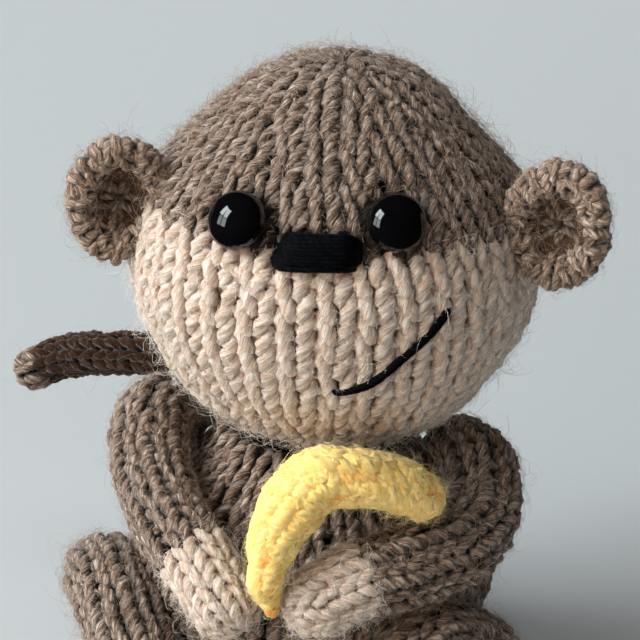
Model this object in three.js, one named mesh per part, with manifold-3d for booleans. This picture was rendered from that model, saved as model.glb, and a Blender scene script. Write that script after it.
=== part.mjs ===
// A hand-knitted toy monkey, sitting and hugging a knitted banana.
// Millimetres, +Z up. The origin is the middle of the flat seat on the ground.
// The toy looks along -Y. Its own right side is at -X.
// Every knitted piece is a cover with a real wall round its own stuffing.
// A limb is a tube that swells and tapers along its route, and its root is a ball
// that sits in a shallow seat in the body, where it is sewn on.

import * as THREE from 'three';
import { mergeVertices } from 'three/addons/utils/BufferGeometryUtils.js';
import Module from 'manifold-3d';

const manifold = await Module();
manifold.setup();

// Clearance between two pieces that touch, and the wall of the knitted covers
const GAP = 0.3;
const BODY_WALL = 2.0;
const HEAD_WALL = 2.0;
const LIMB_WALL = 1.3;

// Body: a pear with a flat seat and an open top
const BODY_RADIUS = 21.9;
const BODY_HEIGHT = 35.6;
const BODY_OUTLINE = [
  [0.44, 0], [0.6, 0.018], [0.79, 0.1], [0.9, 0.22], [0.965, 0.38], [1, 0.53],
  [0.955, 0.64], [0.84, 0.75], [0.69, 0.86], [0.57, 0.95], [0.49, 1.03], [0.4, 1.12],
];

// Neck: the gathered disc of knitting that the head turns and nods on
const NECK_RADIUS = 11.4;
const NECK_THICKNESS = 0.8;
const NECK_HOLE_RADIUS = 2.5;
const HEAD_SIDE_SHIFT = 1.1;
const HEAD_TURN = 6;

// Head: a ball at the cheeks and chin, drawn in above the ears
const HEAD_RADIUS = 23.8;
const CROWN_DRAW_IN = 2.3;
const CROWN_DRAW_IN_ANGLE = 45;
const CROWN_DRAW_IN_SPREAD = 28;
const CROWN_TOP_DROP = 0.9;
const CROWN_TOP_SPREAD = 20;
const COLOUR_CHANGE_LATITUDE = 16;
const CHIN_OPENING_RADIUS = 4.5;

// Ears: oval cups, their places in the head's own frame. beyond is how far an ear's
// middle lies outside the head's radius.
const EAR_HALF_WIDTH = 5.8;
const EAR_HALF_HEIGHT = 7.8;
const EAR_DEPTH = 6;
const EAR_WALL = 2.5;
const EAR_BACK_OFFSET = 8.2;
const EARS = [
  { side: 'right', beyond: 0, up: 6.3, turn: 20 },
  { side: 'left', beyond: 1.8, up: 7.6, turn: -14 },
];

// Eyes: glossy domes on ribbed shanks, each held by a washer behind the knitting
const EYE_RADIUS = 3.05;
const EYE_HEIGHT = 2.7;
const EYE_SHANK_RADIUS = 0.85;
const EYE_SHANK_LENGTH = 5.2;
const EYE_RIB_HEIGHT = 0.15;
const EYE_WASHER_RADIUS = 3.2;
const EYE_WASHER_THICKNESS = 0.8;
const EYES = [
  { side: 'right', longitude: -23.8, latitude: 22.2 },
  { side: 'left', longitude: 24.2, latitude: 25.2 },
];

// Nose bar and mouth thread, by their places on the head
const NOSE_MIDDLE_LONGITUDE = 0.6;
const NOSE_MIDDLE_LATITUDE = 16.9;
const NOSE_WIDTH = 9.4;
const NOSE_HEIGHT = 4.0;
const NOSE_THICKNESS = 1.1;
const MOUTH_THREAD_RADIUS = 0.5;
const MOUTH_ROUTE = [[6.7, -24.1], [17.6, -19.6], [25, -12.5], [32.6, -5.3], [37.4, 1]];

// Limb routes round the body. around is in degrees from the front, up is a share of
// the body's height, out is how far the middle of the limb lies off the body.
const ARM_ROOT_RADIUS = 4.4;
const ARM_RADIUS = 4.8;
const HAND_RADIUS = 4.2;
const SHOULDER = { around: 95, up: 0.885 };
const ARM_ROUTES = {
  right: [
    { around: 79, up: 0.985, out: 7.6, swell: 0.98 },
    { around: 60, up: 0.885, out: 5.6, swell: 0.98 },
    { around: 40, up: 0.815, out: 4.7, swell: 0.94 },
    { around: 24, up: 0.75, out: 4.4, swell: 0.92 },
    { around: 9.6, up: 0.648, out: 4.3, hand: true },
  ],
  left: [
    { around: 84, up: 0.925, out: 6.8, swell: 1.02 },
    { around: 75, up: 0.84, out: 5.8, swell: 1.04 },
    { around: 60, up: 0.785, out: 5.1, swell: 1.03 },
    { around: 41, up: 0.765, out: 4.9, swell: 1 },
    { around: 25, up: 0.735, out: 4.6, swell: 0.94 },
    { around: 14.3, up: 0.685, out: 4.4, hand: true },
  ],
};
const WRIST_SHARE = { right: 0.79, left: 0.82 };

const LEG_ROOT_RADIUS = 4.9;
const LEG_RADIUS = 5.4;
const FOOT_RADIUS = 5.7;
const HIPS = { right: { around: 80, up: 0.4 }, left: { around: 66, up: 0.4 } };
const LEG_ROUTES = {
  right: [
    { around: 63, up: 0.465, out: 2.4, swell: 0.98 },
    { around: 48, up: 0.44, out: 3.2, swell: 1 },
    { around: 35, up: 0.345, out: 5.3, swell: 1 },
  ],
  left: [
    { around: 52, up: 0.465, out: 2.2, swell: 0.98 },
    { around: 41, up: 0.43, out: 3.6, swell: 1 },
    { around: 32, up: 0.335, out: 6.1, swell: 1 },
  ],
};
const INSTEP = { around: 26.5, out: 9.4, lift: 2.4 };
const TOES = { around: 18.5, out: 14.4, lift: 0 };
const ANKLE_SHARE = 0.66;

const SEAM_DEPTH = 0.9;
const STUFFING_HOLE_RADIUS = 1.5;
const GROUND_FLAT_DEPTH = 0.5;

// Tail: a solid knitted cord that rises behind the body and bends to the side
const TAIL_RADIUS = 2.95;
const TAIL_ROOT = { around: 183, up: 0.34 };
const TAIL_ROUTE = [
  [-6.5, 3.6, 3.6], [-16.5, 4.4, 12], [-26.5, 3, 18.2], [-33, 3.4, 17.6], [-38.4, 4.2, 16.2], [-43, 4.2, 13.8],
];

// Banana: a thick arc whose thin end is held between the hands. Its points are
// measured across from the middle, ahead of the belly and above the body's height.
const BANANA_RADIUS = 3.2;
const BANANA_ROUTE = [
  { across: 1.8, ahead: 5.1, above: -11.2, swell: 0.27 },
  { across: 1.3, ahead: 5.2, above: -9.7, swell: 0.47 },
  { across: 0.9, ahead: 5.2, above: -7.6, swell: 0.66 },
  { across: 1.4, ahead: 3.9, above: -3.3, swell: 0.92 },
  { across: 2.9, ahead: 2.2, above: 0.4, swell: 1.12 },
  { across: 5, ahead: 0.5, above: 3, swell: 1.12 },
  { across: 8.8, ahead: -0.6, above: 3.5, swell: 1.03 },
  { across: 12.2, ahead: -2.5, above: 2.5, swell: 1 },
  { across: 14.7, ahead: -4.2, above: 1.1, swell: 0.97 },
  { across: 15.9, ahead: -5.2, above: 0.1, swell: 0.9 },
];

// Counts of sides and rings
const BODY_SIDES = 30;
const BODY_RINGS = 12;
const HEAD_SIDES = 32;
const HEAD_RINGS = 14;
const LIMB_SIDES = 12;
const LIMB_RINGS = 11;
const CAP_RINGS = 3;
const SMALL_SIDES = 12;
const SEAT_SIDES = 14;

const BROWN = { color: 0x7d6656, roughness: 0.95, metalness: 0 };
const CREAM = { color: 0xdcc9ae, roughness: 0.95, metalness: 0 };
const YELLOW = { color: 0xf3d678, roughness: 0.95, metalness: 0 };
const BLACK_THREAD = { color: 0x14141a, roughness: 0.7, metalness: 0 };
const BLACK_PLASTIC = { color: 0x050507, roughness: 0.08, metalness: 0 };
const WASHER_PLASTIC = { color: 0xd8d8d4, roughness: 0.5, metalness: 0 };
const WHITE_FIBRE = { color: 0xf0eee8, roughness: 1, metalness: 0 };

const radians = THREE.MathUtils.degToRad;

// Solids and meshes

function signedVolume(position, index) {
  const a = new THREE.Vector3();
  const b = new THREE.Vector3();
  const c = new THREE.Vector3();
  let six = 0;
  for (let i = 0; i < index.length; i += 3) {
    a.fromBufferAttribute(position, index[i]);
    b.fromBufferAttribute(position, index[i + 1]);
    c.fromBufferAttribute(position, index[i + 2]);
    six += a.dot(b.cross(c));
  }
  return six / 6;
}

// Turns a closed three.js geometry into a solid: shared corners merged, flat
// triangles dropped and faces turned outwards.
function solidOf(geometry) {
  const bare = geometry.clone();
  bare.deleteAttribute('normal');
  bare.deleteAttribute('uv');
  const merged = welded(bare, 1e-4);
  const kept = [...merged.index.array];
  const position = merged.attributes.position;
  if (signedVolume(position, kept) < 0) kept.reverse();
  const vertProperties = new Float32Array(position.array);
  const triVerts = new Uint32Array(kept);
  return new manifold.Manifold(new manifold.Mesh({ numProp: 3, vertProperties, triVerts }));
}

// Merges corners that lie closer than the tolerance and drops the triangles that
// this leaves without an area
function welded(geometry, tolerance) {
  const merged = mergeVertices(geometry, tolerance);
  const index = merged.index.array;
  const kept = [];
  for (let i = 0; i < index.length; i += 3) {
    const [a, b, c] = [index[i], index[i + 1], index[i + 2]];
    if (a !== b && b !== c && c !== a) kept.push(a, b, c);
  }
  merged.setIndex(kept);
  return merged;
}

function meshOf(name, solid, finish) {
  const found = solid.getMesh();
  const cut = new THREE.BufferGeometry();
  cut.setAttribute('position', new THREE.BufferAttribute(new Float32Array(found.vertProperties), 3));
  cut.setIndex(new THREE.BufferAttribute(new Uint32Array(found.triVerts), 1));
  const geometry = welded(cut, 1e-3);
  geometry.computeVertexNormals();
  const mesh = new THREE.Mesh(geometry, new THREE.MeshStandardMaterial(finish));
  mesh.name = name;
  return mesh;
}

function cutBy(solid, ...tools) {
  return tools.reduce((left, tool) => left.subtract(tool), solid);
}

// A turned shape: the outline holds [radius, height] pairs
function turned(outline, sides) {
  const points = outline.map(([radius, height]) => new THREE.Vector2(radius, height));
  const geometry = new THREE.LatheGeometry(points, sides);
  geometry.rotateX(Math.PI / 2);
  return geometry;
}

function ball(centre, radius, sides = SEAT_SIDES) {
  const geometry = new THREE.SphereGeometry(radius, sides, sides / 2);
  geometry.translate(centre.x, centre.y, centre.z);
  return solidOf(geometry);
}

// A round rod from one point towards another
function rod(from, to, radius) {
  const along = to.clone().sub(from);
  const geometry = new THREE.CylinderGeometry(radius, radius, along.length(), 12);
  const middle = from.clone().addScaledVector(along, 0.5);
  const turn = new THREE.Quaternion().setFromUnitVectors(new THREE.Vector3(0, 1, 0), along.normalize());
  geometry.applyQuaternion(turn);
  geometry.translate(middle.x, middle.y, middle.z);
  return solidOf(geometry);
}

// Everything below the ground
function underground() {
  const size = 300;
  const geometry = new THREE.BoxGeometry(size, size, size);
  geometry.translate(0, 0, -size / 2);
  return solidOf(geometry);
}

// Body outline and places on it

const bodyCurve = new THREE.SplineCurve(
  BODY_OUTLINE.map(([radius, height]) => new THREE.Vector2(radius * BODY_RADIUS, height * BODY_HEIGHT)),
);

function bodyRadiusAt(height) {
  let low = 0;
  let high = 1;
  for (let i = 0; i < 40; i++) {
    const middle = (low + high) / 2;
    if (bodyCurve.getPoint(middle).y < height) low = middle;
    else high = middle;
  }
  return bodyCurve.getPoint(low).x;
}

// The body's outline moved out by offset, as [radius, height] pairs
function bodyOutline(offset) {
  const outline = [];
  for (let i = 0; i <= BODY_RINGS; i++) {
    const at = bodyCurve.getPoint(i / BODY_RINGS);
    const along = bodyCurve.getTangent(i / BODY_RINGS);
    outline.push([at.x + along.y * offset, at.y - along.x * offset]);
  }
  return outline;
}

function bodySolid(offset) {
  const outline = bodyOutline(offset);
  const bottom = -offset;
  const top = outline[outline.length - 1][1];
  outline[0][1] = bottom;
  return solidOf(turned([[0, bottom], ...outline, [0, top]], BODY_SIDES));
}

function aroundBody({ around, up, out }) {
  const height = up * BODY_HEIGHT;
  const reach = bodyRadiusAt(height) + out;
  return new THREE.Vector3(reach * Math.sin(radians(around)), -reach * Math.cos(radians(around)), height);
}

// The middle of a root ball of this radius, seated in the body at that place,
// and the point on the body's surface under it
function rootSeat({ around, up }, radius) {
  const height = up * BODY_HEIGHT;
  const step = 0.5;
  const slope = (bodyRadiusAt(height + step) - bodyRadiusAt(height - step)) / (2 * step);
  const direction = new THREE.Vector2(1, -slope).normalize();
  const surface = aroundBody({ around, up, out: 0 });
  const distance = radius - SEAM_DEPTH;
  const flat = new THREE.Vector3(Math.sin(radians(around)), -Math.cos(radians(around)), 0);
  const middle = surface.clone().addScaledVector(flat, direction.x * distance);
  middle.z += direction.y * distance;
  return { middle, surface };
}

function mirrored(vector, side) {
  return side === 'right' ? new THREE.Vector3(-vector.x, vector.y, vector.z) : vector;
}

// Head outline

const NECK_REACH = HEAD_RADIUS + 2 * GAP + NECK_THICKNESS;
const headCentre = new THREE.Vector3(
  HEAD_SIDE_SHIFT,
  0,
  BODY_HEIGHT + Math.sqrt(NECK_REACH ** 2 - NECK_RADIUS ** 2),
);

// Distance from the head's middle to its surface, by the angle from the top
function headReach(angle) {
  const drawnIn = CROWN_DRAW_IN * Math.exp(-(((angle - CROWN_DRAW_IN_ANGLE) / CROWN_DRAW_IN_SPREAD) ** 2));
  const topDrop = CROWN_TOP_DROP * Math.exp(-((angle / CROWN_TOP_SPREAD) ** 2));
  return HEAD_RADIUS - drawnIn - topDrop;
}

function headArc(from, to, offset, count) {
  const arc = [];
  for (let i = 0; i <= count; i++) {
    const angle = from + ((to - from) * i) / count;
    const reach = headReach(angle) + offset;
    arc.push([Math.max(reach * Math.sin(radians(angle)), 0), reach * Math.cos(radians(angle))]);
  }
  return arc;
}

// A point at this longitude and latitude on the head, standing off it
function onHead(longitude, latitude, standOff) {
  const reach = headReach(90 - latitude) + standOff;
  const flat = reach * Math.cos(radians(latitude));
  return new THREE.Vector3(
    flat * Math.sin(radians(longitude)),
    -flat * Math.cos(radians(longitude)),
    reach * Math.sin(radians(latitude)),
  );
}

function headSolid(offset) {
  const outline = headArc(0, 180, offset, HEAD_RINGS);
  outline[0][0] = 0;
  outline[outline.length - 1][0] = 0;
  return solidOf(turned(outline, HEAD_SIDES));
}

// Limbs

// A closed tube along a route, with its own radius at every point. An end is a
// round cap or a flat one. grow makes it thicker, or thinner where it is negative.
function limb(route, { from = 0, to = 1, grow = 0, roundStart = true, roundEnd = true, sides = LIMB_SIDES }) {
  const curve = new THREE.CatmullRomCurve3(route.map((stop) => stop.at));
  const radiusAt = (t) => {
    const place = THREE.MathUtils.clamp(t, 0, 1) * (route.length - 1);
    const before = Math.min(Math.floor(place), route.length - 2);
    const share = THREE.MathUtils.smoothstep(place - before, 0, 1);
    return THREE.MathUtils.lerp(route[before].radius, route[before + 1].radius, share) + grow;
  };
  const rings = Math.max(2, Math.round(LIMB_RINGS * (to - from)));
  const stations = [];
  for (let i = 0; i <= rings; i++) {
    const t = from + ((to - from) * i) / rings;
    stations.push({ at: curve.getPoint(t), along: curve.getTangent(t), radius: radiusAt(t) });
  }
  const capped = (station, sign) => {
    const cap = [];
    for (let k = 1; k <= CAP_RINGS; k++) {
      const angle = (k / CAP_RINGS) * (Math.PI / 2);
      const radius = k === CAP_RINGS ? 0 : station.radius * Math.cos(angle);
      const at = station.at.clone().addScaledVector(station.along, sign * station.radius * Math.sin(angle));
      cap.push({ at, along: station.along, radius });
    }
    return cap;
  };
  const flat = (station) => [{ at: station.at, along: station.along, radius: 0 }];
  const first = stations[0];
  const last = stations[stations.length - 1];
  const before = (roundStart ? capped(first, -1) : flat(first)).reverse();
  const after = roundEnd ? capped(last, 1) : flat(last);
  return solidOf(sweep([...before, ...stations, ...after], sides));
}

// Joins rings of corners into one closed surface. The first and last are points.
function sweep(stations, sides) {
  const corners = [];
  const faces = [];
  const side = new THREE.Vector3(0, 0, 1);
  if (Math.abs(stations[0].along.z) > 0.9) side.set(1, 0, 0);
  side.addScaledVector(stations[0].along, -side.dot(stations[0].along)).normalize();
  let previous = stations[0].along;
  for (const station of stations) {
    side.applyQuaternion(new THREE.Quaternion().setFromUnitVectors(previous, station.along));
    previous = station.along;
    const other = new THREE.Vector3().crossVectors(station.along, side);
    for (let k = 0; k < sides; k++) {
      const angle = (2 * Math.PI * k) / sides;
      const corner = station.at.clone();
      corner.addScaledVector(side, station.radius * Math.cos(angle));
      corner.addScaledVector(other, station.radius * Math.sin(angle));
      corners.push(corner);
    }
  }
  for (let i = 0; i + 1 < stations.length; i++) {
    for (let k = 0; k < sides; k++) {
      const a = i * sides + k;
      const b = i * sides + ((k + 1) % sides);
      faces.push(a, b, b + sides, a, b + sides, a + sides);
    }
  }
  const geometry = new THREE.BufferGeometry().setFromPoints(corners);
  geometry.setIndex(faces);
  return geometry;
}

function armRoute(side) {
  const root = rootSeat(SHOULDER, ARM_ROOT_RADIUS);
  const stops = ARM_ROUTES[side].map((stop) => ({
    at: aroundBody(stop),
    radius: stop.hand ? HAND_RADIUS : ARM_RADIUS * stop.swell,
  }));
  return {
    stops: [{ at: root.middle, radius: ARM_ROOT_RADIUS }, ...stops].map(({ at, radius }) => ({
      at: mirrored(at, side),
      radius,
    })),
    seam: mirrored(root.surface, side),
    rootRadius: ARM_ROOT_RADIUS,
    split: WRIST_SHARE[side],
  };
}

function legRoute(side) {
  const root = rootSeat(HIPS[side], LEG_ROOT_RADIUS);
  const soleUp = (FOOT_RADIUS - GROUND_FLAT_DEPTH) / BODY_HEIGHT;
  const stops = LEG_ROUTES[side].map((stop) => ({ at: aroundBody(stop), radius: LEG_RADIUS * stop.swell }));
  const foot = [INSTEP, TOES].map((stop) => {
    const at = aroundBody({ ...stop, up: soleUp });
    at.z += stop.lift;
    return { at, radius: FOOT_RADIUS };
  });
  return {
    stops: [{ at: root.middle, radius: LEG_ROOT_RADIUS }, ...stops, ...foot].map(({ at, radius }) => ({
      at: mirrored(at, side),
      radius,
    })),
    seam: mirrored(root.surface, side),
    rootRadius: LEG_ROOT_RADIUS,
    split: ANKLE_SHARE,
  };
}

const arms = { right: armRoute('right'), left: armRoute('left') };
const legs = { right: legRoute('right'), left: legRoute('left') };

const tailSeat = rootSeat(TAIL_ROOT, TAIL_RADIUS);
const tailStops = [
  { at: tailSeat.middle, radius: TAIL_RADIUS },
  ...TAIL_ROUTE.map((step) => ({
    at: tailSeat.middle.clone().add(new THREE.Vector3(...step)),
    radius: TAIL_RADIUS,
  })),
];

const bananaStops = BANANA_ROUTE.map(({ across, ahead, above, swell }) => ({
  at: new THREE.Vector3(across, -(BODY_RADIUS + ahead), BODY_HEIGHT + above),
  radius: BANANA_RADIUS * swell,
}));

// The body grown by an offset, less the root ball that a limb keeps
function bodyBeside(route, offset) {
  return bodySolid(offset).subtract(ball(route.stops[0].at, route.rootRadius + 0.15));
}

function headInPlace(offset) {
  return headSolid(offset).translate([headCentre.x, headCentre.y, headCentre.z]);
}

// A limb in three pieces: the brown cover, its cream end and the stuffing in both
function limbPieces(route, stoppers) {
  const { stops, split, seam } = route;
  const length = new THREE.CatmullRomCurve3(stops.map((stop) => stop.at)).getLength();
  const seamGap = GAP / length;
  const overshoot = 0.05;
  const inner = -LIMB_WALL;
  const cutters = [underground(), headInPlace(GAP), ...stoppers];
  const wallCavity = (cavity) => cavity.subtract(bodySolid(GAP + LIMB_WALL));
  const hole = rod(stops[0].at, seam.clone().lerp(stops[0].at, -0.3), STUFFING_HOLE_RADIUS);
  const coverCavity = wallCavity(limb(stops, { to: split + overshoot, grow: inner, roundEnd: false }));
  const endCavity = wallCavity(limb(stops, { from: split - overshoot, grow: inner, roundStart: false }));
  const cover = limb(stops, { to: split, roundEnd: false });
  const end = limb(stops, { from: split + seamGap, roundStart: false });
  const stuffing = limb(stops, { grow: inner - GAP });
  const floor = bodySolid(GAP + LIMB_WALL + GAP);
  return {
    cover: cutBy(cover, bodyBeside(route, GAP), ...cutters, coverCavity, hole),
    end: cutBy(end, bodySolid(GAP), ...cutters, endCavity),
    stuffing: cutBy(stuffing, floor, ...cutters),
  };
}

// Sub-assemblies

function makeBody() {
  const neckCut = ball(headCentre, NECK_REACH, 2 * SEAT_SIDES);
  const rootSeats = [...Object.values(arms), ...Object.values(legs)].map((route) =>
    ball(route.stops[0].at, route.rootRadius + GAP),
  );
  rootSeats.push(ball(tailSeat.middle, TAIL_RADIUS + GAP));
  const cavity = bodySolid(-BODY_WALL);
  const openTop = rod(
    new THREE.Vector3(0, 0, 0.7 * BODY_HEIGHT),
    new THREE.Vector3(0, 0, 1.3 * BODY_HEIGHT),
    bodyRadiusAt(1.02 * BODY_HEIGHT) - BODY_WALL,
  );
  const cover = cutBy(bodySolid(0), neckCut, cavity, openTop, ...rootSeats);
  const stuffing = cutBy(bodySolid(-BODY_WALL - GAP), neckCut);
  return [
    meshOf('body_cover', cover, BROWN),
    meshOf('body_stuffing', stuffing, WHITE_FIBRE),
  ];
}

// The gathered disc follows the underside of the head, with a hole at its middle
function makeNeck() {
  const inside = HEAD_RADIUS + GAP;
  const outside = inside + NECK_THICKNESS;
  const count = 3;
  const arc = (reach) => {
    const low = Math.asin(NECK_HOLE_RADIUS / reach);
    const high = Math.asin((NECK_RADIUS - GAP) / reach);
    return Array.from({ length: count + 1 }, (_, i) => {
      const angle = low + ((high - low) * i) / count;
      return [reach * Math.sin(angle), -reach * Math.cos(angle)];
    });
  };
  const outline = [...arc(inside), ...arc(outside).reverse()];
  outline.push(outline[0]);
  const disc = solidOf(turned(outline, BODY_SIDES));
  const mesh = meshOf('neck_gather', disc, BROWN);
  mesh.position.copy(headCentre);
  return mesh;
}

// The direction straight out of the head's surface
function outOfHead(longitude, latitude) {
  const step = 1;
  const across = onHead(longitude + step, latitude, 0).sub(onHead(longitude - step, latitude, 0));
  const upwards = onHead(longitude, latitude + step, 0).sub(onHead(longitude, latitude - step, 0));
  return across.cross(upwards).normalize();
}

// Moves a shape built along +Z from the head's surface to an eye's place
function atEye(geometry, { longitude, latitude }) {
  const out = outOfHead(longitude, latitude);
  const seat = onHead(longitude, latitude, 0);
  geometry.applyQuaternion(new THREE.Quaternion().setFromUnitVectors(new THREE.Vector3(0, 0, 1), out));
  geometry.translate(seat.x, seat.y, seat.z);
  return solidOf(geometry);
}

function eyeOutline() {
  const bottom = GAP - EYE_SHANK_LENGTH;
  const outline = [[0, bottom], [0.6 * EYE_SHANK_RADIUS, bottom]];
  const ribs = 3;
  const pitch = 1.1;
  for (let i = 0; i < ribs; i++) {
    const height = bottom + 0.5 + i * pitch;
    outline.push([EYE_SHANK_RADIUS, height]);
    outline.push([EYE_SHANK_RADIUS + EYE_RIB_HEIGHT, height + 0.35]);
    outline.push([EYE_SHANK_RADIUS, height + 0.5]);
  }
  outline.push([EYE_SHANK_RADIUS, GAP], [0.93 * EYE_RADIUS, GAP]);
  const count = 5;
  for (let i = 0; i <= count; i++) {
    const angle = (i / count) * (Math.PI / 2);
    const height = GAP + 0.3 + (EYE_HEIGHT - 0.3) * Math.sin(angle);
    outline.push([i === count ? 0 : EYE_RADIUS * Math.cos(angle), height]);
  }
  return outline;
}

const WASHER_FRONT = -(HEAD_WALL + GAP + 0.3);

function washerOutline() {
  const bore = EYE_SHANK_RADIUS + EYE_RIB_HEIGHT + GAP;
  const back = WASHER_FRONT - EYE_WASHER_THICKNESS;
  return [
    [bore, WASHER_FRONT],
    [EYE_WASHER_RADIUS, WASHER_FRONT],
    [EYE_WASHER_RADIUS, back],
    [bore, back],
    [bore, WASHER_FRONT],
  ];
}

function makeEyes() {
  const meshes = [];
  for (const eye of EYES) {
    const dome = atEye(turned(eyeOutline(), SMALL_SIDES), eye);
    const washer = atEye(turned(washerOutline(), SMALL_SIDES), eye);
    meshes.push(meshOf(`eye_${eye.side}`, dome, BLACK_PLASTIC));
    meshes.push(meshOf(`eye_washer_${eye.side}`, washer, WASHER_PLASTIC));
  }
  return meshes;
}

// The holes that the shanks need in the knitting, and the pockets in the stuffing
function eyeHole(eye) {
  const radius = EYE_SHANK_RADIUS + EYE_RIB_HEIGHT + GAP;
  const depth = EYE_SHANK_LENGTH + GAP;
  return atEye(turned([[0, -depth], [radius, -depth], [radius, 2], [0, 2]], SMALL_SIDES), eye);
}

function eyePocket(eye) {
  const radius = EYE_WASHER_RADIUS + GAP;
  const depth = WASHER_FRONT - EYE_WASHER_THICKNESS - GAP;
  return atEye(turned([[0, depth], [radius, depth], [radius, 2], [0, 2]], SMALL_SIDES), eye);
}

function makeHeadCovers() {
  const join = 90 - COLOUR_CHANGE_LATITUDE;
  const half = THREE.MathUtils.radToDeg(GAP / 2 / HEAD_RADIUS);
  const chin = 180 - THREE.MathUtils.radToDeg(Math.asin(CHIN_OPENING_RADIUS / HEAD_RADIUS));
  const rings = HEAD_RINGS / 2;
  const crownOutline = [
    ...headArc(0, join - half, 0, rings),
    ...headArc(join - half, 0, -HEAD_WALL, rings),
  ];
  const faceOutline = [
    ...headArc(join + half, chin, 0, rings),
    ...headArc(chin, join + half, -HEAD_WALL, rings),
  ];
  crownOutline[0][0] = 0;
  crownOutline[crownOutline.length - 1][0] = 0;
  faceOutline.push(faceOutline[0]);
  const holes = EYES.map(eyeHole);
  const crown = cutBy(solidOf(turned(crownOutline, HEAD_SIDES)), ...holes);
  const face = cutBy(solidOf(turned(faceOutline, HEAD_SIDES)), ...holes);
  const plug = CHIN_OPENING_RADIUS * (1 - HEAD_WALL / HEAD_RADIUS) - GAP;
  const inside = -HEAD_WALL - GAP;
  const stuffingOutline = headArc(0, chin - 1, inside, HEAD_RINGS);
  stuffingOutline[0][0] = 0;
  stuffingOutline.push([plug, stuffingOutline[stuffingOutline.length - 1][1]]);
  stuffingOutline.push([plug, -HEAD_RADIUS * Math.cos(Math.asin(plug / HEAD_RADIUS))], [0, -HEAD_RADIUS]);
  const stuffing = solidOf(turned(stuffingOutline, HEAD_SIDES));
  return [
    meshOf('head_crown', crown, BROWN),
    meshOf('head_face', face, CREAM),
    meshOf('head_stuffing', cutBy(stuffing, ...EYES.map(eyeHole), ...EYES.map(eyePocket)), WHITE_FIBRE),
  ];
}

// An oval cup with a thick rolled rim, cut to the side of the head
function makeEars() {
  const rimTop = 0.43 * EAR_DEPTH;
  const back = rimTop - EAR_DEPTH;
  const floor = back + EAR_WALL;
  const rim = EAR_HALF_WIDTH - EAR_WALL;
  const outline = [
    [0, back],
    [0.55 * EAR_HALF_WIDTH, 0.86 * back],
    [0.9 * EAR_HALF_WIDTH, 0.36 * back],
    [EAR_HALF_WIDTH, 0.3 * rimTop],
    [0.95 * EAR_HALF_WIDTH, 0.75 * rimTop],
    [EAR_HALF_WIDTH - 0.5 * EAR_WALL, rimTop],
    [rim + 0.12 * EAR_WALL, 0.75 * rimTop],
    [0.9 * rim, 0.2 * rimTop],
    [0.5 * rim, 0.8 * floor],
    [0, floor],
  ];
  const head = headSolid(GAP);
  return EARS.map(({ side, beyond, up, turn }) => {
    const across = side === 'right' ? -HEAD_RADIUS - beyond : HEAD_RADIUS + beyond;
    const geometry = turned(outline, SEAT_SIDES);
    geometry.rotateX(Math.PI / 2);
    geometry.scale(1, 1, EAR_HALF_HEIGHT / EAR_HALF_WIDTH);
    geometry.rotateZ(radians(turn));
    geometry.translate(across, -EAR_BACK_OFFSET, up);
    return meshOf(`ear_${side}`, cutBy(solidOf(geometry), head), BROWN);
  });
}

// A raised bar of side-by-side stitches that follows the head, thin at its edges
function makeNose() {
  const reach = headReach(90 - NOSE_MIDDLE_LATITUDE);
  const halfLatitude = THREE.MathUtils.radToDeg(NOSE_HEIGHT / 2 / reach);
  const flatReach = reach * Math.cos(radians(NOSE_MIDDLE_LATITUDE));
  const halfLongitude = THREE.MathUtils.radToDeg(NOSE_WIDTH / 2 / flatReach);
  const wide = 8;
  const high = 5;
  const corners = [];
  const faces = [];
  const place = (i, k, outer) => {
    const across = (2 * i) / wide - 1;
    const upwards = (2 * k) / high - 1;
    const fullness = (1 - across ** 6) * (1 - 0.7 * upwards ** 4);
    const standOff = GAP + (outer ? 0.35 + (NOSE_THICKNESS - 0.35) * fullness : 0);
    return onHead(
      NOSE_MIDDLE_LONGITUDE + halfLongitude * across,
      NOSE_MIDDLE_LATITUDE + halfLatitude * upwards,
      standOff,
    );
  };
  const row = high + 1;
  for (const outer of [false, true]) {
    for (let i = 0; i <= wide; i++) {
      for (let k = 0; k <= high; k++) corners.push(place(i, k, outer));
    }
  }
  const lift = (wide + 1) * row;
  const quad = (a, b, c, d) => faces.push(a, b, c, a, c, d);
  for (let i = 0; i < wide; i++) {
    for (let k = 0; k < high; k++) {
      const a = i * row + k;
      quad(a, a + 1, a + row + 1, a + row);
      quad(lift + a, lift + a + row, lift + a + row + 1, lift + a + 1);
    }
  }
  for (let i = 0; i < wide; i++) {
    const low = i * row;
    const top = low + high;
    quad(low, low + row, lift + low + row, lift + low);
    quad(top + row, top, lift + top, lift + top + row);
  }
  for (let k = 0; k < high; k++) {
    const far = wide * row + k;
    quad(k + 1, k, lift + k, lift + k + 1);
    quad(far, far + 1, lift + far + 1, lift + far);
  }
  const geometry = new THREE.BufferGeometry().setFromPoints(corners);
  geometry.setIndex(faces);
  return meshOf('nose_stitches', solidOf(geometry), BLACK_THREAD);
}

function makeMouth() {
  const route = MOUTH_ROUTE.map(([longitude, latitude]) => ({
    at: onHead(longitude, latitude, GAP + MOUTH_THREAD_RADIUS),
    radius: MOUTH_THREAD_RADIUS,
  }));
  return meshOf('mouth_thread', limb(route, { sides: 6 }), BLACK_THREAD);
}

function makeHead() {
  const head = new THREE.Group();
  head.position.copy(headCentre);
  head.rotation.z = radians(HEAD_TURN);
  head.add(...makeHeadCovers(), ...makeEars(), ...makeEyes(), makeNose(), makeMouth());
  return head;
}

function makeArm(side) {
  const banana = limb(bananaStops, { grow: GAP });
  const { cover, end, stuffing } = limbPieces(arms[side], [banana]);
  return [
    meshOf(`arm_${side}`, cover, BROWN),
    meshOf(`hand_${side}`, end, CREAM),
    meshOf(`arm_stuffing_${side}`, stuffing, WHITE_FIBRE),
  ];
}

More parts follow.
